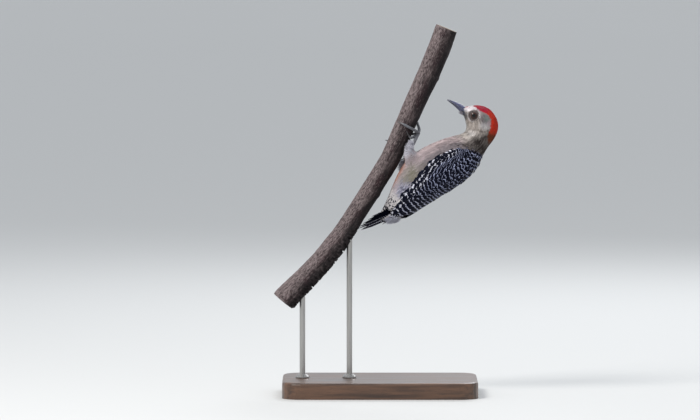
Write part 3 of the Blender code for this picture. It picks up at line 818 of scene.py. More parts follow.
def lay(form, d, a, length, half, yaw=0.0, tip=0.3 * MM, sink=0.7 * MM, rings=5, columns=3,
        thick=0.12 * MM, camber=0.12, blunt=0.55, fray=0.12, neck=0.45, end=None, lift=0.0, seed=0):
    """Closed vanes along the form, from roots at d and a towards the tail, or to the end given.

    sink and tip say how deep a root lies and how far a tip stands out, neck how wide a vane starts,
    blunt where its tip begins to round off, and fray how uneven its edges are."""
    chance = np.random.default_rng(seed)
    n = len(d)
    d, a, length, half, yaw, tip, sink, lift = (np.broadcast_to(v, (n,)).astype(float)[:, None, None]
                                                for v in (d, a, length, half, yaw, tip, sink, lift))
    t = (1 - (1 - np.linspace(0, 1, rings)) ** 1.25)[:, None]
    uneven = 1 - 1.3 * fray * chance.uniform(0, 1, (n, 1, columns))
    uneven = np.concatenate([uneven, uneven[..., -2:0:-1]], axis=-1)
    u, under = section(columns)
    wide = neck + (1 - neck) * smooth(0, 0.4, t)
    wide = wide * np.sqrt(1 - 0.975 * np.clip((t - blunt) / (1 - blunt), 0, 1) ** 2)
    ragged = chance.uniform(-1, 1, (n, rings, len(u))) * fray
    ragged[..., columns:] = 0
    hw = half * wide * (1 + ragged)
    run, round_ = form.stretch(d[:, :, 0], a[:, :, 0])
    run, round_ = np.maximum(run, 0.25)[..., None], np.maximum(round_, 3 * MM)[..., None]
    if end is None:
        centre_d = d - length * t * uneven * np.cos(yaw) / run
        centre_a = a + length * t * uneven * np.sin(yaw) / round_
    else:
        end_d, end_a = (v[:, None, None] for v in end)
        centre_d = d + (end_d - d) * t * uneven
        centre_a = a + (end_a - a) * (0.35 * t + 0.65 * smooth(0, 1, t))
        yaw = np.arctan2((end_a - a) * round_, (d - end_d) * run)
    at_d = centre_d + u * hw * np.sin(yaw) / run
    at_a = centre_a + u * hw * np.cos(yaw) / round_
    rise = -sink + (sink + tip) * t**0.8 + camber * half * (1 - u**2) * wide - thick * under + lift
    co, _ = form.point(at_d, at_a, rise)
    return vanes(co, u, t, chance.uniform(-1, 1, (n, 1, 1)), d=at_d, a=at_a,
                 root=(d[:, 0, 0] / form.length, a[:, 0, 0] / math.tau + 0.5))


def lay_free(roots, normals, towards, length, half, lift, root, seed):
    """Closed vanes from roots on any surface, bending over it towards the directions given."""
    chance = np.random.default_rng(seed)
    n = len(roots)
    ahead = unit(towards - (towards * normals).sum(1, keepdims=True) * normals)
    ahead = unit(ahead + 0.3 * chance.normal(size=(n, 1)) * np.cross(normals, ahead))
    beside = np.cross(normals, ahead)
    t = np.linspace(0, 1, 6)[None, :, None]
    u, under = section(3)
    length, half, lift = (np.broadcast_to(v, (n,))[:, None, None] for v in (length, half, lift))
    wide = (0.5 + 0.5 * smooth(0, 0.4, t)) * np.sqrt(1 - 0.97 * np.clip((t - 0.35) / 0.65, 0, 1) ** 2)
    rise = (lift + 0.5 * MM) * t - 0.5 * MM - 0.09 * length * t**2 - 0.1 * MM * under
    co = (roots[:, None, None] + ahead[:, None, None] * (length * t + 0 * u)[..., None]
          + beside[:, None, None] * (half * wide * u)[..., None] + normals[:, None, None] * rise[..., None])
    return vanes(co, u, t, chance.uniform(-1, 1, (n, 1, 1)), root=root)


def marked(laid, tone, phase, share):
    """A layer with its bars' tone, phase and half width, for each vane or for each point."""
    laid["tone"] = np.broadcast_to(tone, laid["co"].shape)
    laid["mark"] = np.stack([np.broadcast_to(v, laid["u"].shape) for v in (phase, share, 0.0)], -1)
    return laid


def plain(laid, tone):
    """A layer with no bars, in one tone or in one for each feather."""
    return marked(laid, np.reshape(tone, (-1, 1, 1, 3)), 0.5, 2.0)


def body_plain(laid):
    """A plain layer whose feathers take the body's tone where they show."""
    ring = int(laid["co"].shape[1] * 0.6)
    d, a, co = (laid[key][:, ring, laid["u"].shape[2] // 4] for key in ("d", "a", "co"))
    return plain(laid, body_tone(d, a, co))


def barred(laid, jitter=0.19, seed=1):
    """A layer whose bars run on from feather to feather, each a little out of step."""
    d, a = laid["d"], laid["a"]
    chance = np.random.default_rng(seed)
    step = chance.normal(0, jitter, (len(d), 1, 1))
    share = np.clip(bar_share(d, a) + chance.normal(0, 0.03, (len(d), 1, 1)), -0.1, 0.9)
    return marked(laid, bar_tone(d, a), bar_phase(d, a, laid["co"]) + step + 0.35 * laid["u"] ** 2, share)


def flecked(laid):
    """Dark wing quills with short white bars along their outer edges."""
    outer = laid["u"] * np.sign(laid["a"][:, :1, :1])
    phase = laid["t"] * 9 + 0.5 * outer + 0.3 * laid["chance"]
    return marked(laid, WHITE_BAR, phase, 0.55 * smooth(-0.1, 0.4, outer) - 0.1)


def patch_uv(laid, patch):
    """Bake places: a small patch for each vane, at its root's place on the form unrolled."""
    root_d, root_a = (v[:, None, None] for v in laid["root"])
    return np.stack([root_a + laid["u"] * 0.5 * patch, 0.02 + 0.95 * root_d - laid["t"] * patch], -1)


def tile_uv(laid, columns, rows, first):
    """Bake places for long vanes: a tile for each."""
    index = first + np.arange(len(laid["co"]))
    x, y = (index % columns)[:, None, None], (index // columns)[:, None, None]
    return np.stack([(x + 0.5 + 0.42 * laid["u"]) / columns, (y + 0.06 + 0.88 * laid["t"]) / rows], -1)


def coat(name, layers, made, slot, *replaced, patch=0.003, tiles=None):
    """One joined piece from layers of feathers."""
    faces, uv, start, done = [], [], 0, 0
    for laid in layers:
        count, rings, around = laid["u"].shape
        laid["vane"] = np.stack([laid["u"], laid["t"], laid["chance"]], -1)
        shift = (start + np.arange(count) * rings * around)[:, None, None]
        faces += [(part[None] + shift).reshape(-1, part.shape[1]) for part in tube_faces(rings, around)]
        uv.append((tile_uv(laid, *tiles, done) if tiles else patch_uv(laid, patch)).reshape(-1, 2))
        start += count * rings * around
        done += count
    co, *values = (np.concatenate([laid[key].reshape(-1, 3) for laid in layers])
                   for key in ("co", "tone", "mark", "vane"))
    mesh = grid_mesh(name, co, faces)
    mesh.set_sharp_from_angle(angle=math.radians(50))
    corners = read(mesh.loops, "vertex_index", 1, np.int32).ravel()
    layer = mesh.uv_layers.new(name="OFBake")
    layer.data.foreach_set("uv", np.concatenate(uv)[corners].astype(np.float32).ravel())
    place(name, mesh, made, slot, *replaced, **dict(zip(("tone", "mark", "vane"), values)))


def clear_of_eyes(d, a, length):
    """True where a vane of that length, from its root to its tip, stays off the bare rings."""
    run, _ = body.stretch(d, a)
    near = False
    for t, margin in ((0, 0), (0.5, 0.5 * MM), (1, 0.4 * MM)):
        off = np.hypot(*(body.point(d - length * t / run, a)[0] - eye_middle)[:, (0, 2)].T)
        near |= off < eye_radius + margin
    return ~((np.abs(turned(a) - 90) < 62) & near)


def head_coat(plumage):
    """Fine feathers, growing shorter from the neck to the bill, and looser on the throat."""
    rows = (("neck", 99, 111, 0.68, 2.9), ("head", 111, 122, 0.56, 2.0), ("face", 122, 133.4, 0.46, 1.25))
    for seed, (name, low, high, spacing, size) in enumerate(rows):
        size = size * MM
        d, a = scatter(body, spacing * MM, (low * MM, high * MM), (-180, 180), 20 + seed,
                       lambda d, a: clear_of_eyes(d, a, size))
        n = len(d)
        loose = smooth(138, 162, turned(a)) * smooth(106 * MM, 113 * MM, d) * smooth(129 * MM, 125 * MM, d)
        laid = lay(body, d, a, size * rng.uniform(0.75, 1.2, n), size * 0.115, rng.normal(0, 0.16, n),
                   tip=(0.2 + 0.9 * loose * rng.uniform(0.4, 1, n)) * MM, sink=0.32 * MM,
                   thick=0.07 * MM, blunt=0.35, seed=30 + seed)
        coat("coat_" + name, [body_plain(laid)], plumage, "plumage_head")


def breast_coat(plumage):
    """Short sleek feathers below the wings' edges and round the neck."""
    def region(d, a):
        return ~is_barred(d, a) | (wing_edge(d) - turned(a) < 4)

    for name, turn in (("left", (0, 180)), ("right", (-180, 0))):
        d, a = scatter(body, 0.98 * MM, (12 * MM, 102 * MM), turn, 50, region)
        n = len(d)
        size = np.interp(d, (20 * MM, 50 * MM, 100 * MM), (5.6, 5.2, 3.4)) * MM
        laid = lay(body, d, a, size * rng.uniform(0.75, 1.2, n), size * 0.12, rng.normal(0, 0.12, n),
                   tip=rng.uniform(0.08, 0.28, n) * MM, sink=0.6 * MM, thick=0.08 * MM, camber=0.06,
                   blunt=0.35, seed=51)
        coat("coat_breast_" + name, [body_plain(laid)], plumage, "plumage_pale")


def vent_coat(plumage):
    """Undertail coverts with dark marks, the white fluffy rump, and the coverts over the tail."""
    def under(d, a):
        return (turned(a) > wing_edge(d) - 2) & (d < 22 * MM)

    d, a = scatter(body, 2.0 * MM, (0.3 * MM, 22 * MM), (-180, 180), 60, under)
    near_tail = smooth(6 * MM, 0, d) * smooth(120, 150, turned(a))
    laid = lay(body, d, a, (7.5 + 3.5 * near_tail) * MM, 1.3 * MM, rng.normal(0, 0.14, len(d)),
               tip=(0.25 + 1.2 * near_tail) * MM, sink=0.9 * MM, rings=9, columns=5, seed=61)
    step = np.random.default_rng(66).uniform(-0.15, 0.15, (len(d), 1, 1))
    tone = body_plain(laid)["tone"]
    laid = marked(laid, tone, laid["t"] * 2.2 + step + 0.25 * np.abs(laid["u"]), 0.44)
    coat("coat_vent", [laid], plumage, "plumage_pale", patch=0.02)

    d, a = scatter(body, 0.62 * MM, (2.2 * MM, 10.5 * MM), (-50, 50), 62)
    laid = lay(body, d, a, 4.8 * MM * rng.uniform(0.7, 1.2, len(d)), 0.26 * MM, rng.normal(0, 0.4, len(d)),
               tip=rng.uniform(0.2, 2.1, len(d)) * MM, sink=0.8 * MM, rings=6, blunt=0.3, seed=63)
    coat("coat_rump", [plain(laid, RUMP_WHITE)], plumage, "plumage_pale")

    d, a = scatter(body, 1.6 * MM, (0.2 * MM, 4 * MM), (-180, 180), 64)
    laid = lay(body, d, a, 6.5 * MM * rng.uniform(0.8, 1.2, len(d)), 1.0 * MM, rng.normal(0, 0.1, len(d)),
               tip=-0.6 * MM, sink=1.2 * MM, rings=6, columns=5, seed=65)
    tone = mix(BLACK, VENT, smooth(60, 110, turned(a) + 25 * rng.normal(size=len(d))))
    coat("coat_tail_coverts", [plain(laid, tone)], plumage, "plumage_pale")


def back_coat(plumage):
    """Barred feathers of the mantle, shoulders and wing coverts."""
    def covered(d, a):
        return (wing_edge(d) - turned(a) > 1) & (d > 30 * MM)

    for name, turn in (("left", (0, 112)), ("right", (-112, 0))):
        d, a = scatter(body, 2.3 * MM, (30 * MM, 97 * MM), turn, 70, covered)
        size = np.interp(d, (40 * MM, 70 * MM, 96 * MM), (9.0, 7.2, 5.0)) * MM
        raised = np.random.default_rng(72).uniform(size=len(d)) ** 2
        laid = lay(body, d, a, size, size * 0.27, np.sign(a) * -0.12 + rng.normal(0, 0.07, len(d)),
                   tip=(0.35 + 0.8 * raised) * MM, sink=0.9 * MM, rings=8, columns=7, thick=0.14 * MM,
                   camber=0.14, fray=0.1, seed=71)
        coat("coat_wing_" + name, [barred(laid)], plumage, "plumage_barred", patch=0.016)


def wing_vanes(side, plumage):
    """The long feathers of one folded wing: inner ones over outer ones, over the primaries."""
    turn = SIDES[side]
    share = np.linspace(0, 1, 10)
    end = ((24 - 17 * share**0.6) * MM, turn * np.radians(-2 + 70 * share**1.2))
    inner = lay(body, (57 - 9 * share) * MM, turn * np.radians(14 + 72 * share), 0, (4.6 - 1.4 * share) * MM,
                end=end, tip=0.5 * MM, sink=0.9 * MM, rings=26, columns=9, thick=0.25 * MM, camber=0.1,
                blunt=0.86, fray=0.03, neck=0.7, lift=(0.75 - 0.75 * share) * MM, seed=80 + turn)
    share = np.linspace(0, 1, 7)
    end = ((4.2 + 6.5 * share**2) * MM, turn * np.radians(40 + 42 * share))
    quills = lay(body, (34 - 4 * share) * MM, turn * np.radians(46 + 40 * share), 0, 2.6 * MM, end=end,
                 tip=0.3 * MM, sink=0.6 * MM, rings=24, columns=7, thick=0.25 * MM, camber=0.14,
                 blunt=0.7, fray=0.02, neck=0.8, lift=(-0.25 - 0.35 * share) * MM, seed=90 + turn)
    coat("wing_vanes_" + side, [barred(inner, 0.1, 81), flecked(quills)], plumage, "plumage_barred",
         "wing_" + side, "primaries_" + side, tiles=(5, 4))


def eased(mesh, co, weight, rounds):
    """The mesh's points, each drawn towards its neighbours by its own weight, which fills creases."""
    edges = read(mesh.edges, "vertices", 2, np.int32)
    count = np.bincount(edges.ravel(), minlength=len(co))
    first, second = edges.T
    for _ in range(rounds):
        total = [np.bincount(first, co[second, k], len(co)) + np.bincount(second, co[first, k], len(co))
                 for k in range(3)]
        co = co + weight[:, None] * (np.stack(total, 1) / count[:, None] - co)
    return co


THIGH_VANES = 4400
THIGH_EASING = 160  # rounds that fill the crease between thigh and belly


def thigh_coat(side, plumage):
    """Loose white feathers from the heel up a thigh, running into the belly's."""
    thigh = points_of("thigh_" + side)
    deep = away(thigh, middle("trunk"))
    heel, root = thigh[deep > np.percentile(deep, 97)].mean(0), thigh[deep < np.percentile(deep, 30)].mean(0)
    mesh, co, _ = shell(["thigh_" + side, "trunk"], 0.5 * MM, 3)
    share = (co - heel) @ (root - heel) / ((root - heel) @ (root - heel))
    co = eased(mesh, co, 0.5 * smooth(0.35, 0.75, share), THIGH_EASING)
    move(mesh, co)
    mesh.update()
    normal = read(mesh.vertex_normals, "vector")
    near = tree_of(nodes["thigh_" + side].data)
    off = np.array([near.find_nearest(Vector(p))[3] for p in co])
    surface, out = body.point(*body.locate(co))
    height = ((co - surface) * out).sum(1)
    chance = np.random.default_rng(100)
    chosen = chance.permutation(np.flatnonzero((off < 4.5 * MM) & (height > -0.3 * MM)))[:THIGH_VANES]
    co, normal, height, share = co[chosen], normal[chosen], height[chosen], np.clip(share[chosen], 0, 1.2)
    n = len(co)
    length = np.minimum(4.4 * MM, 0.6 * away(co, heel) + 2.2 * MM) * chance.uniform(0.7, 1.2, n)
    to_tail = -body.tangent[np.searchsorted(body.distance, 40 * MM)]
    ahead = mix(unit(heel - co), to_tail + 0 * co, smooth(0.3, 0.65, share)) + 0.2 * normal
    lift = chance.uniform(0.1, 0.55, n) * (1.2 - 0.8 * share) * MM
    turn = np.arctan2(normal[:, 1], normal[:, 0])
    laid = lay_free(co, normal, ahead, length, (0.2 + 0.1 * share) * MM, lift,
                    (share / 1.2, turn / math.tau + 0.5), 101)
    streak = smooth(0.86, 0.95, chance.uniform(size=n))
    blend = smooth(0.5, 0.85, share + 0.12 * chance.normal(size=n))
    blend = np.maximum(blend, smooth(2.5 * MM, 0.5 * MM, height) * smooth(0.3, 0.6, share))
    tone = layered(THIGH, (blend, body_tone(*body.locate(co), co)), (0.5 * streak * (1 - blend), FLANK_DARK))
    coat("coat_thigh_" + side, [plain(laid, tone)], plumage, "plumage_pale")


def chin_wisps(plumage):
    """Bristles over the nostrils, and loose ones that stand forward under the bill."""
    count = 90
    a = np.radians(rng.uniform(-75, 75, count))
    d = np.full(count, body.length - 2.4 * MM) + rng.uniform(-1, 1, count) * 0.9 * MM
    top = lay(body, d, a, 3.0 * MM * rng.uniform(0.7, 1.2, count), 0.18 * MM,
              math.pi + rng.normal(0, 0.15, count), tip=0.35 * MM, sink=0.4 * MM, thick=0.07 * MM,
              rings=6, seed=121)
    a = np.radians(180 + rng.uniform(-60, 60, count))
    d = body.length - rng.uniform(0.4, 3.0, count) * MM
    chin = lay_free(*body.point(d, a), body.tangent[-1:], 4.6 * MM * rng.uniform(0.5, 1.1, count), 0.16 * MM,
                    rng.uniform(0.7, 2.4, count) * MM, (d / body.length, a / math.tau), 122)
    coat("coat_bristles", [body_plain(top), plain(chin, WISP)], plumage, "plumage_head")


# ---- skin, tail, head parts, feet

FLESH = ("head", "neck", "trunk", "thigh_left", "thigh_right")
COAT_AT = np.array([0, 15, 95, 112, 126, 133]) * MM
COAT_DEPTH = np.array([0.8, 1.2, 1.2, 0.5, 0.35, 0.1]) * MM


def add_skin(made):
    """One skin under all the feathers, sunk by the depth of its coat."""
    mesh, co, normal = shell(FLESH, 0.6 * MM, 5)
    d, a = body.locate(co)
    inside = is_barred(d, a)
    tone = np.where(inside[:, None], bar_tone(d, a), body_tone(d, a, co))
    mark = np.stack([bar_phase(d, a, co), np.where(inside, bar_share(d, a), 2.0), np.zeros(len(d))], -1)
    surface, out = body.point(d, a)
    off_body = smooth(0.4 * MM, 1.2 * MM, ((co - surface) * out).sum(1)) * (d < 80 * MM)
    near_eye = smooth(1.6 * MM, 0.4 * MM, np.hypot(*(co - eye_middle)[:, (0, 2)].T) - eye_radius)
    depth = np.interp(d, COAT_AT, COAT_DEPTH) + 0.8 * MM * near_eye * smooth(108 * MM, 114 * MM, d)
    move(mesh, co - normal * depth[:, None])
    place("skin", mesh, made, "plumage_pale", *FLESH, tone=mix(tone, THIGH, off_body), mark=mark)


TIP_REACH = 1.5 * MM  # how far a tail feather's worn tip runs past its solid, to the bark


def tail_feather(name):
    """A stiff, pointed tail feather along its solid's own curve. inner is 1 on its inner edge."""
    co = points_of(name)
    centre = co.mean(0)
    _, _, axes = np.linalg.svd(co - centre)
    axes[0] *= np.sign(axes[0] @ (centre - middle("trunk")))
    axes[2] *= np.sign(axes[2] @ body.back[0])
    along, across, up = ((co - centre) @ axis for axis in axes)
    bend, swerve = np.polyfit(along, up, 2), np.polyfit(along, across, 2)
    off = np.abs(across - np.polyval(swerve, along))
    stations = np.linspace(along.min(), along.max(), 9)
    nearest = [np.argsort(np.abs(along - station))[:max(8, len(co) // 9)] for station in stations]
    t = np.linspace(0, 1, 60)
    s = along.min() + (along.max() + TIP_REACH - along.min()) * t
    half = np.interp(s, stations, [off[near].max() for near in nearest])
    half = half * np.sqrt(1 - 0.985 * smooth(0.8, 1.0, t) ** 2)
    half *= 1 + 0.03 * bumps(np.stack([s, 0 * s, 0 * s], -1), 4 * MM, len(name))
    u, under = section(9)
    over = 1 - 2 * under
    rise = 0.14 * MM * over * (np.abs(u) < 0.99) + 0.16 * MM * peak(u, 0.13) * over - 0.35 * MM * u**2
    up = np.polyval(bend, s)[:, None] + rise * (1 - 0.6 * t[:, None])
    across = np.polyval(swerve, s)[:, None] + half[:, None] * u
    co = centre + s[:, None, None] * axes[0] + across[..., None] * axes[1] + up[..., None] * axes[2]
    leftward = np.sign(axes[1] @ (middle("rectrix_left_1") - middle("rectrix_right_1")) or 1)
    inner = u * leftward * (-1 if "left" in name else 1)
    return vanes(co[None], u, t[:, None], 0.1, inner=inner)


def add_tail(made):
    """Black tail feathers. The middle pair has pale edges and short bars, the outermost a few bars."""
    for side in SIDES:
        names = [f"rectrix_{side}_{number}" for number in range(1, 6)]
        layers = []
        for name in names:
            laid = tail_feather(name)
            inner, t = laid["inner"], laid["t"]
            phase, share = t * 11 + 0.2 + 0.5 * np.abs(laid["u"]), 0.0
            if name == names[0]:
                edge = np.maximum(smooth(0.84, 0.9, inner), 0.7 * smooth(0.8, 0.88, -inner))
                phase = phase * (1 - edge) + 0.5 * edge
                share = 0.3 * smooth(0.2, 0.3, inner) * smooth(0.6, 0.3, t) + edge
            elif name == names[-1]:
                share = 0.24 * smooth(0.0, 0.1, -inner) * smooth(0.4, 0.7, t)
            layers.append(marked(laid, WHITE_BAR, phase, share - 0.08))
        coat("tail_vanes_" + side, layers, made, "plumage_black", *names, tiles=(5, 1))


def turned_frame(out):
    """Two directions at right angles to out."""
    first = unit(np.cross(out, (0.31, 0.12, 0.94)))
    return first, np.cross(out, first)


def add_eye(side, made):
    """An eyeball whose front bulges a little."""
    out = to_left * SIDES[side]
    first, second = turned_frame(out)
    rings, around = 56, 72
    angle = np.linspace(0.01, math.pi - 0.01, rings)[:, None, None]
    turn = np.linspace(0, math.tau, around, endpoint=False)[:, None]
    way = np.cos(angle) * out + np.sin(angle) * (np.cos(turn) * first + np.sin(turn) * second)
    ball = middle("eye_" + side) + way * eye_radius * (1 + 0.045 * peak(angle, 0.55))
    mesh = grid_mesh("eyeball", ball, tube_faces(rings, around))
    tint = np.repeat(np.clip(angle / (math.pi / 2), 0, 1), around, 1)
    place("eyeball_" + side, mesh, made, "eye_gloss", "eye_" + side, tint=tint)


# Across the bare ring, in mm: the distance from the eye's axis, and the height over the eyeball and,
# further out, over the head. The first two rows and the last two are dark.
LID_PROFILE = ((2.62, -0.5), (2.7, 0.05), (2.86, 0.24), (3.1, 0.3), (3.35, 0.2), (3.6, 0.26), (3.9, 0.24),
               (4.2, 0.28), (4.5, 0.12), (4.85, -0.25), (4.7, -1.3), (3.4, -1.2))
LID_FOLDS = 34


def add_lid(side, made):
    """The bare ring round an eye, a band of fine folds from the eyeball out to the feathers."""
    centre, out = middle("eye_" + side), to_left * SIDES[side]
    first, second = turned_frame(out)
    head = tree_of(nodes["head"].data)
    around, size = 96, len(LID_PROFILE)
    co, tint = [], []
    for turn in np.linspace(0, math.tau, around, endpoint=False):
        way = math.cos(turn) * first + math.sin(turn) * second
        hit = head.ray_cast(Vector(centre + out * 9 * MM + way * 4.7 * MM), Vector(-out))[0]
        head_height = (np.array(hit) - centre) @ out if hit else 2.0 * MM
        for step, (radius, height) in enumerate(LID_PROFILE):
            radius = radius * MM
            ball = math.sqrt(max(eye_radius**2 - radius**2, 0.0))
            base = ball + (head_height - ball) * smooth(3.0 * MM, 4.8 * MM, radius)
            fold = math.sin(turn * LID_FOLDS + step * 1.9)
            lift = height * MM + 0.045 * MM * fold * (1 < step < 9)
            co.append(centre + way * radius + out * (base + lift))
            # The folds' troughs get a lower tint, which the material paints darker: painted shade between
            # the folds.
            tint.append(0.62 + 0.3 * fold if 1 < step < size - 2 else 0.0)
    index = np.arange(around * size).reshape(around, size)
    corners = [np.roll(index, shift, (0, 1)) for shift in ((0, 0), (-1, 0), (-1, -1), (0, -1))]
    mesh = grid_mesh("lid", co, [np.stack(corners, -1).reshape(-1, 4)])
    place("orbital_ring_" + side, mesh, made, "plumage_head", tint=tint)


def bill_middle(along, high):
    """The height half way up the bill's side, at places along it."""
    places = np.linspace(0, 1, 20)
    near = [high[np.abs(along - p) < 0.05] for p in places]
    return places, [(part.max() + part.min()) / 2 if len(part) else 0.0 for part in near]


def add_bill(made):
    """Both mandibles' horn. The upper one has a nostril slit over a groove."""
    upper, lower, head = points_of("bill_upper"), points_of("bill_lower"), points_of("head").mean(0)
    both = np.concatenate([upper, lower])
    tip, base = upper[away(upper, head).argmax()], both[np.argsort(away(both, head))[:40]].mean(0)
    axis, size = unit(tip - base), np.linalg.norm(tip - base)
    up = np.cross(to_left, axis)
    up *= np.sign(up @ (upper.mean(0) - lower.mean(0)))
    for name in ("bill_upper", "bill_lower"):
        mesh, co, normal = shell([name], 0.14 * MM, 6)
        along, high = (co - base) @ axis / size, (co - base) @ up
        ridge = 0.05 * MM * bumps(np.stack([along * size * 0.12, high, co[:, 1] * 0.5], -1), 0.9 * MM, 7)
        dent, tint = 0.0, 0.2 + 0.25 * smooth(0.45, 0.1, along)
        if name == "bill_upper":
            off = high - np.interp(along, *bill_middle(along, high))
            slit = peak((along - 0.2) * size, 1.1 * MM) * peak(off, 0.32 * MM)
            groove = peak(off + 0.35 * MM, 0.2 * MM) * smooth(0.75, 0.3, along)
            dent = 0.3 * MM * slit + 0.07 * MM * groove
            # The upper mandible's top half is paler: a painted highlight where the light falls on it.
            tint = 0.42 - 0.35 * smooth(0.55, 1.0, along) + 0.2 * (high > 0.4 * MM)
        move(mesh, co + normal * (ridge * smooth(1.0, 0.85, along) - dent + 0.07 * MM)[:, None])
        place(name + "_horn", mesh, made, "bill_horn", name, tint=tint)


# Round the bill's base from its top, and how far the horn runs back there.
GAPE_TURN = np.radians([62, 80, 100, 125, 150, 172])
GAPE_REACH = np.array([0.2, 0.9, 1.9, 3.3, 4.0, 3.4]) * MM
GAPE_FOLD = 108  # where the mouth's fold lies, in degrees


def add_gape(side, made):
    """The horn at the bill's base, which runs back under the feathers beside the gape."""
    rows, columns = 14, 40
    turn = np.linspace(GAPE_TURN[0], GAPE_TURN[-1], columns)[:, None]
    share = np.linspace(0, 1, rows)
    d = body.length + 0.5 * MM - (np.interp(turn, GAPE_TURN, GAPE_REACH) + 0.5 * MM) * share
    fold = peak(np.degrees(turn) - GAPE_FOLD, 6)
    rise = 0.3 * MM * (1 - share**4) * smooth(0, 0.12, turn - GAPE_TURN[0] + 0.02) - 0.12 * MM * fold
    top, normal = body.point(d, turn * SIDES[side] + 0 * d, rise)
    co = np.concatenate([top, (top - normal * 0.6 * MM)[:, ::-1]], axis=1)
    mesh = grid_mesh("gape", co, tube_faces(columns, 2 * rows))
    mesh.set_sharp_from_angle(angle=math.radians(60))
    # Darker towards its lower side and in the mouth's fold: painted shade.
    tint = 0.35 - 0.5 * smooth(115, 140, np.degrees(turn)) - 0.9 * fold
    place("bill_gape_" + side, mesh, made, "bill_horn", tint=np.repeat(tint, 2 * rows))


SCALE = 0.75 * MM  # the length of a toe's scale
# A toe's swellings: their place from the claw, half width and rise, in mm.
TOE_BUMPS = ((0.9, 0.75, 0.24), (3.6, 0.8, 0.15), (6.6, 0.8, 0.17))


def toe_places(co, ball, bases):
    """How far each point of a foot lies from its toe's claw, and whether it is on a toe at all."""
    back, nearest = np.full(len(co), 1.0), np.full(len(co), np.inf)
    for base in bases:
        axis = unit(base - ball)
        along = (base - co) @ axis
        off = away(base - co, along[:, None] * axis)
        inside = (off < nearest) & (along < np.linalg.norm(base - ball) + 0.5 * MM) & (off < 2.6 * MM)
        back[inside], nearest[inside] = along[inside], off[inside]
    return back, np.isfinite(nearest)


def add_foot(side, foot_look, claw_look):
    """A foot in scales, and its claws."""
    mesh, co, normal = shell(["foot_" + side], 0.14 * MM, 9)
    names = [f"claw_{side}_{number}" for number in range(1, 5)]
    claws = [points_of(name) for name in names]
    ball = np.mean([claw.mean(0) for claw in claws], 0)
    ball = co[np.argsort(away(co, ball))[:200]].mean(0)
    bases = [claw[away(claw, ball).argsort()[:6]].mean(0) for claw in claws]
    back, is_toe = toe_places(co, ball, bases)
    rise = sum(high * peak(back / MM - at, half) for at, half, high in TOE_BUMPS)
    rise = np.where(is_toe, rise, 0.12) + 0.1 + 0.1 * bumps(co, 1.4 * MM, 13)
    perch = tree_of(nodes["perch"].data)
    wood = np.array([perch.find_nearest(Vector(p))[0] for p in co])
    upper = smooth(-0.35, 0.25, (normal * unit(co - wood)).sum(1))
    co = co + normal * (rise * MM)[:, None]
    move(mesh, co)
    scale = np.where(is_toe, back / SCALE, away(co, ball) / (1.6 * SCALE))
    place("foot_scales_" + side, mesh, foot_look, "foot_scales", "foot_" + side,
          tint=np.stack([scale, upper, 0 * scale], -1))
    for name in names:
        mesh, co, normal = shell([name], 0.1 * MM, 4)
        out = away(co, ball)
        share = (out - out.min()) / (out.max() - out.min())
        move(mesh, co + normal * (0.14 * MM * (1 - share))[:, None])
        place(name + "_horn", mesh, claw_look, "claw_horn", name, tint=0.9 - 0.9 * smooth(0.2, 1.0, share))


# ---- perch and stand

PERCH_CAP = 5 * MM  # the length near each sawn end where the surface goes straight on
# A sawn end's rings: their share of its radius, and how far they stand out.
SAWN_SHARES = np.array([1.0, 1.0, 0.97, 0.85, 0.7, 0.55, 0.4, 0.25, 0.1, 0.02])
SAWN_LIFTS = np.array([-0.5, 0.12, 0.2, 0.22, 0.24, 0.26, 0.27, 0.28, 0.28, 0.28]) * MM


def perch_form():
    """The branch's outer form. Its angle is 0 on its lower side and grows towards the camera."""
    co = points_of("perch")
    centre = co.mean(0)
    _, _, axes = np.linalg.svd(co - centre, full_matrices=False)
    along = (co - centre) @ (axes[0] * np.sign(axes[0][2]))
    places = np.linspace(along.min() + PERCH_CAP, along.max() - PERCH_CAP, 14)
    fits = [np.polyfit(along, (co - centre)[:, k], 5) for k in range(3)]
    line = [centre + [np.polyval(fit, p) for fit in fits] for p in places]
    return Form(nodes["perch"].data, line, lambda share: np.tile((0.0, -1.0, 0.0), (len(share), 1)),
                40 * MM, 2, rows=260, columns=96, rounds=0, median=9)


def bark_relief(p, share, angle):
    """How far the bark stands in or out, with lengthwise furrows, a ridged knot and loose flakes."""
    def drawn(along, round_, size, seed):
        return bumps(p * np.array([along, round_, round_]), size * MM, seed)

    furrow = np.clip(1 - np.abs(drawn(0.12, 1, 6, 201)) * 2.6, 0, 1) ** 3
    fine = np.clip(1 - np.abs(drawn(0.2, 1, 2.2, 202)) * 2.4, 0, 1) ** 3
    knot = peak(share - 0.44, 0.01) * peak(angle - 1.2, 1.3) * (0.9 + 0.5 * drawn(1, 1, 3, 205))
    scar = peak(share - 0.845, 0.006) * peak(angle + 0.3, 1.4)
    loose = smooth(0.36, 0.28, share) * smooth(1.3, 0.5, np.abs(angle - 0.25))
    flake = smooth(-0.05, 0.05, drawn(1, 0.8, 3.4, 206))
    relief = 0.4 * drawn(0.5, 1, 18, 203) - (furrow * 0.3 + fine * 0.18)
    return (relief + knot + 0.5 * scar + 1.6 * loose * (flake - 0.4) - 0.15) * MM


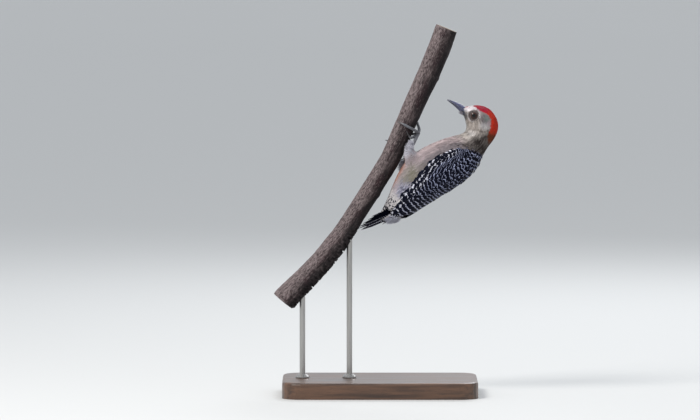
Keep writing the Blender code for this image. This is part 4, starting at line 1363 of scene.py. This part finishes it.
def add_perch(bark, sawn):
    """The branch's bark, laid on its form unrolled, and its sawn ends."""
    form = perch_form()
    low, high = (((points_of("perch") - form.line[row]) @ form.tangent[row] * way).max()
                 for row, way in ((0, -1), (-1, 1)))
    rows, columns = 1000, 150
    d = np.linspace(-low, form.length + high, rows)[:, None] * np.ones(columns)
    a = np.linspace(-math.pi, math.pi, columns, endpoint=False) * np.ones((rows, 1))
    share = (d + low) / (d[-1] - d[0])
    around = form.stretch(d, a)[1].mean()
    p = np.stack([d, around * np.cos(a), around * np.sin(a)], -1)
    relief = bark_relief(p, share, a)
    ends = smooth(0, 2 * MM, np.minimum(d - d[0], d[-1] - d))
    co, _ = form.point(d, a, relief * ends - 0.4 * MM * (1 - ends))
    mesh = grid_mesh("perch_bark", co, tube_faces(rows, columns))
    # Where the bark gets painted shade on its lower side, wider towards one end, and painted light on its
    # upper side.
    wider = 0.25 * smooth(0.48, 0.34, share)
    under = smooth(1.75 + wider, 0.8 + 1.4 * wider, np.abs(a + 0.1 + 0.25 * bumps(p, 9 * MM, 207)))
    lit_side = smooth(1.3, 0.5, np.abs(np.abs(a) - 2.7) + 0.3 * bumps(p, 5 * MM, 208))
    place("perch_bark", mesh, bark, "perch_bark", "perch",
          bark=p, relief=np.stack([relief / MM, under, lit_side], -1))
    for name, row, way in (("perch_end_low", 0, -1), ("perch_end_high", -1, 1)):
        add_sawn_end(name, co[row], form.tangent[row] * way, sawn)


def add_sawn_end(name, rim, out, made):
    """A sawn face, slightly domed over the branch's end, with its growth rings."""
    shares, lifts = SAWN_SHARES[:, None, None], SAWN_LIFTS[:, None, None]
    centre = rim.mean(0)
    rings = centre + (rim - centre) * 0.995 * shares + out * lifts
    mesh = grid_mesh(name, rings, tube_faces(len(shares), len(rim)))
    place(name, mesh, made, "perch_bark", bark=np.repeat(SAWN_SHARES, len(rim)))


def dress(names, made):
    for name in names:
        nodes[name].data.materials.clear()
        nodes[name].data.materials.append(made)


# ---- stage

VIEW_CENTRE = Vector((-25.5 * MM, 0, 157.2 * MM))
VIEW_DISTANCE = 4.96
VIEW_LIFT = math.radians(3.5)
VIEW_LENS = 300


def add_camera():
    data = bpy.data.cameras.new("camera")
    data.lens = VIEW_LENS
    camera = link("camera", data)
    back = Vector((0, -math.cos(VIEW_LIFT), math.sin(VIEW_LIFT)))
    camera.location = VIEW_CENTRE + back * VIEW_DISTANCE
    camera.rotation_euler = back.to_track_quat("Z", "Y").to_euler()
    bpy.context.scene.camera = camera


def add_light(name, place_, size, power, colour):
    data = bpy.data.lights.new(name, "AREA")
    data.size, data.energy, data.color = size, power, colour
    lamp = link(name, data)
    lamp.location = place_
    lamp.rotation_euler = (Vector(place_) - VIEW_CENTRE).to_track_quat("Z", "Y").to_euler()


def add_stage():
    """A pale floor and world, three lamps and the camera."""
    bpy.ops.mesh.primitive_plane_add(size=30)
    floor = bpy.context.object
    floor.name = "floor"
    g = Graph("floor", 0.7)
    grey = g.mix(g.noise(3.0, 2.0), (0.6, 0.6, 0.59), (0.64, 0.64, 0.63))
    floor.data.materials.append(g.finish(grey))
    scene = bpy.context.scene
    scene.world = bpy.data.worlds.new("world")
    scene.world.use_nodes = True
    sky = scene.world.node_tree.nodes["Background"].inputs
    sky["Color"].default_value = (0.86, 0.9, 0.95, 1)
    sky["Strength"].default_value = 0.8
    scene.view_settings.view_transform = "Standard"
    add_light("key", (-0.8, -0.8, 1.4), 0.6, 22, (1.0, 0.98, 0.95))
    add_light("fill", (1.2, -1.2, 0.6), 1.2, 1, (0.9, 0.95, 1.0))
    add_light("rim", (0.4, 1.2, 1.1), 0.8, 9, (0.95, 0.97, 1.0))
    add_camera()


# ---- all together


def main():
    soft = plumage_material("plumage_soft", 60.0, slant=0.12)
    fine = plumage_material("plumage_head_fine", 30.0, slant=0.15)
    vaned = plumage_material("plumage_barred_vane", 80.0, quill=0.12, roughness=0.55)
    stiff = plumage_material("plumage_tail_vane", 240.0, quill=0.5, roughness=0.6, gloss=0.0)
    add_skin(skin_material())
    head_coat(fine)
    breast_coat(soft)
    vent_coat(soft)
    back_coat(vaned)
    for side in SIDES:
        wing_vanes(side, vaned)
    for side in SIDES:
        thigh_coat(side, soft)
    chin_wisps(fine)
    add_tail(stiff)
    eye_look, lid_look = eye_material(), lid_material()
    for side in SIDES:
        add_eye(side, eye_look)
        add_lid(side, lid_look)
    slate = horn_material("bill_slate", (0.009, 0.01, 0.015), (0.105, 0.11, 0.23), 0.42,
                          (400.0, 400.0, 120.0))
    add_bill(slate)
    for side in SIDES:
        add_gape(side, slate)
    scaly = foot_material()
    dark = horn_material("claw_dark", (0.025, 0.024, 0.026), (0.26, 0.255, 0.27), 0.35,
                         (700.0, 700.0, 700.0))
    for side in SIDES:
        add_foot(side, scaly, dark)
    add_perch(bark_material(), sawn_material())
    dress(["stand_base"], wood_material())
    dress(["stand_rod_low", "stand_rod_high", "stand_collar_low", "stand_collar_high"], metal_material())
    add_stage()


main()
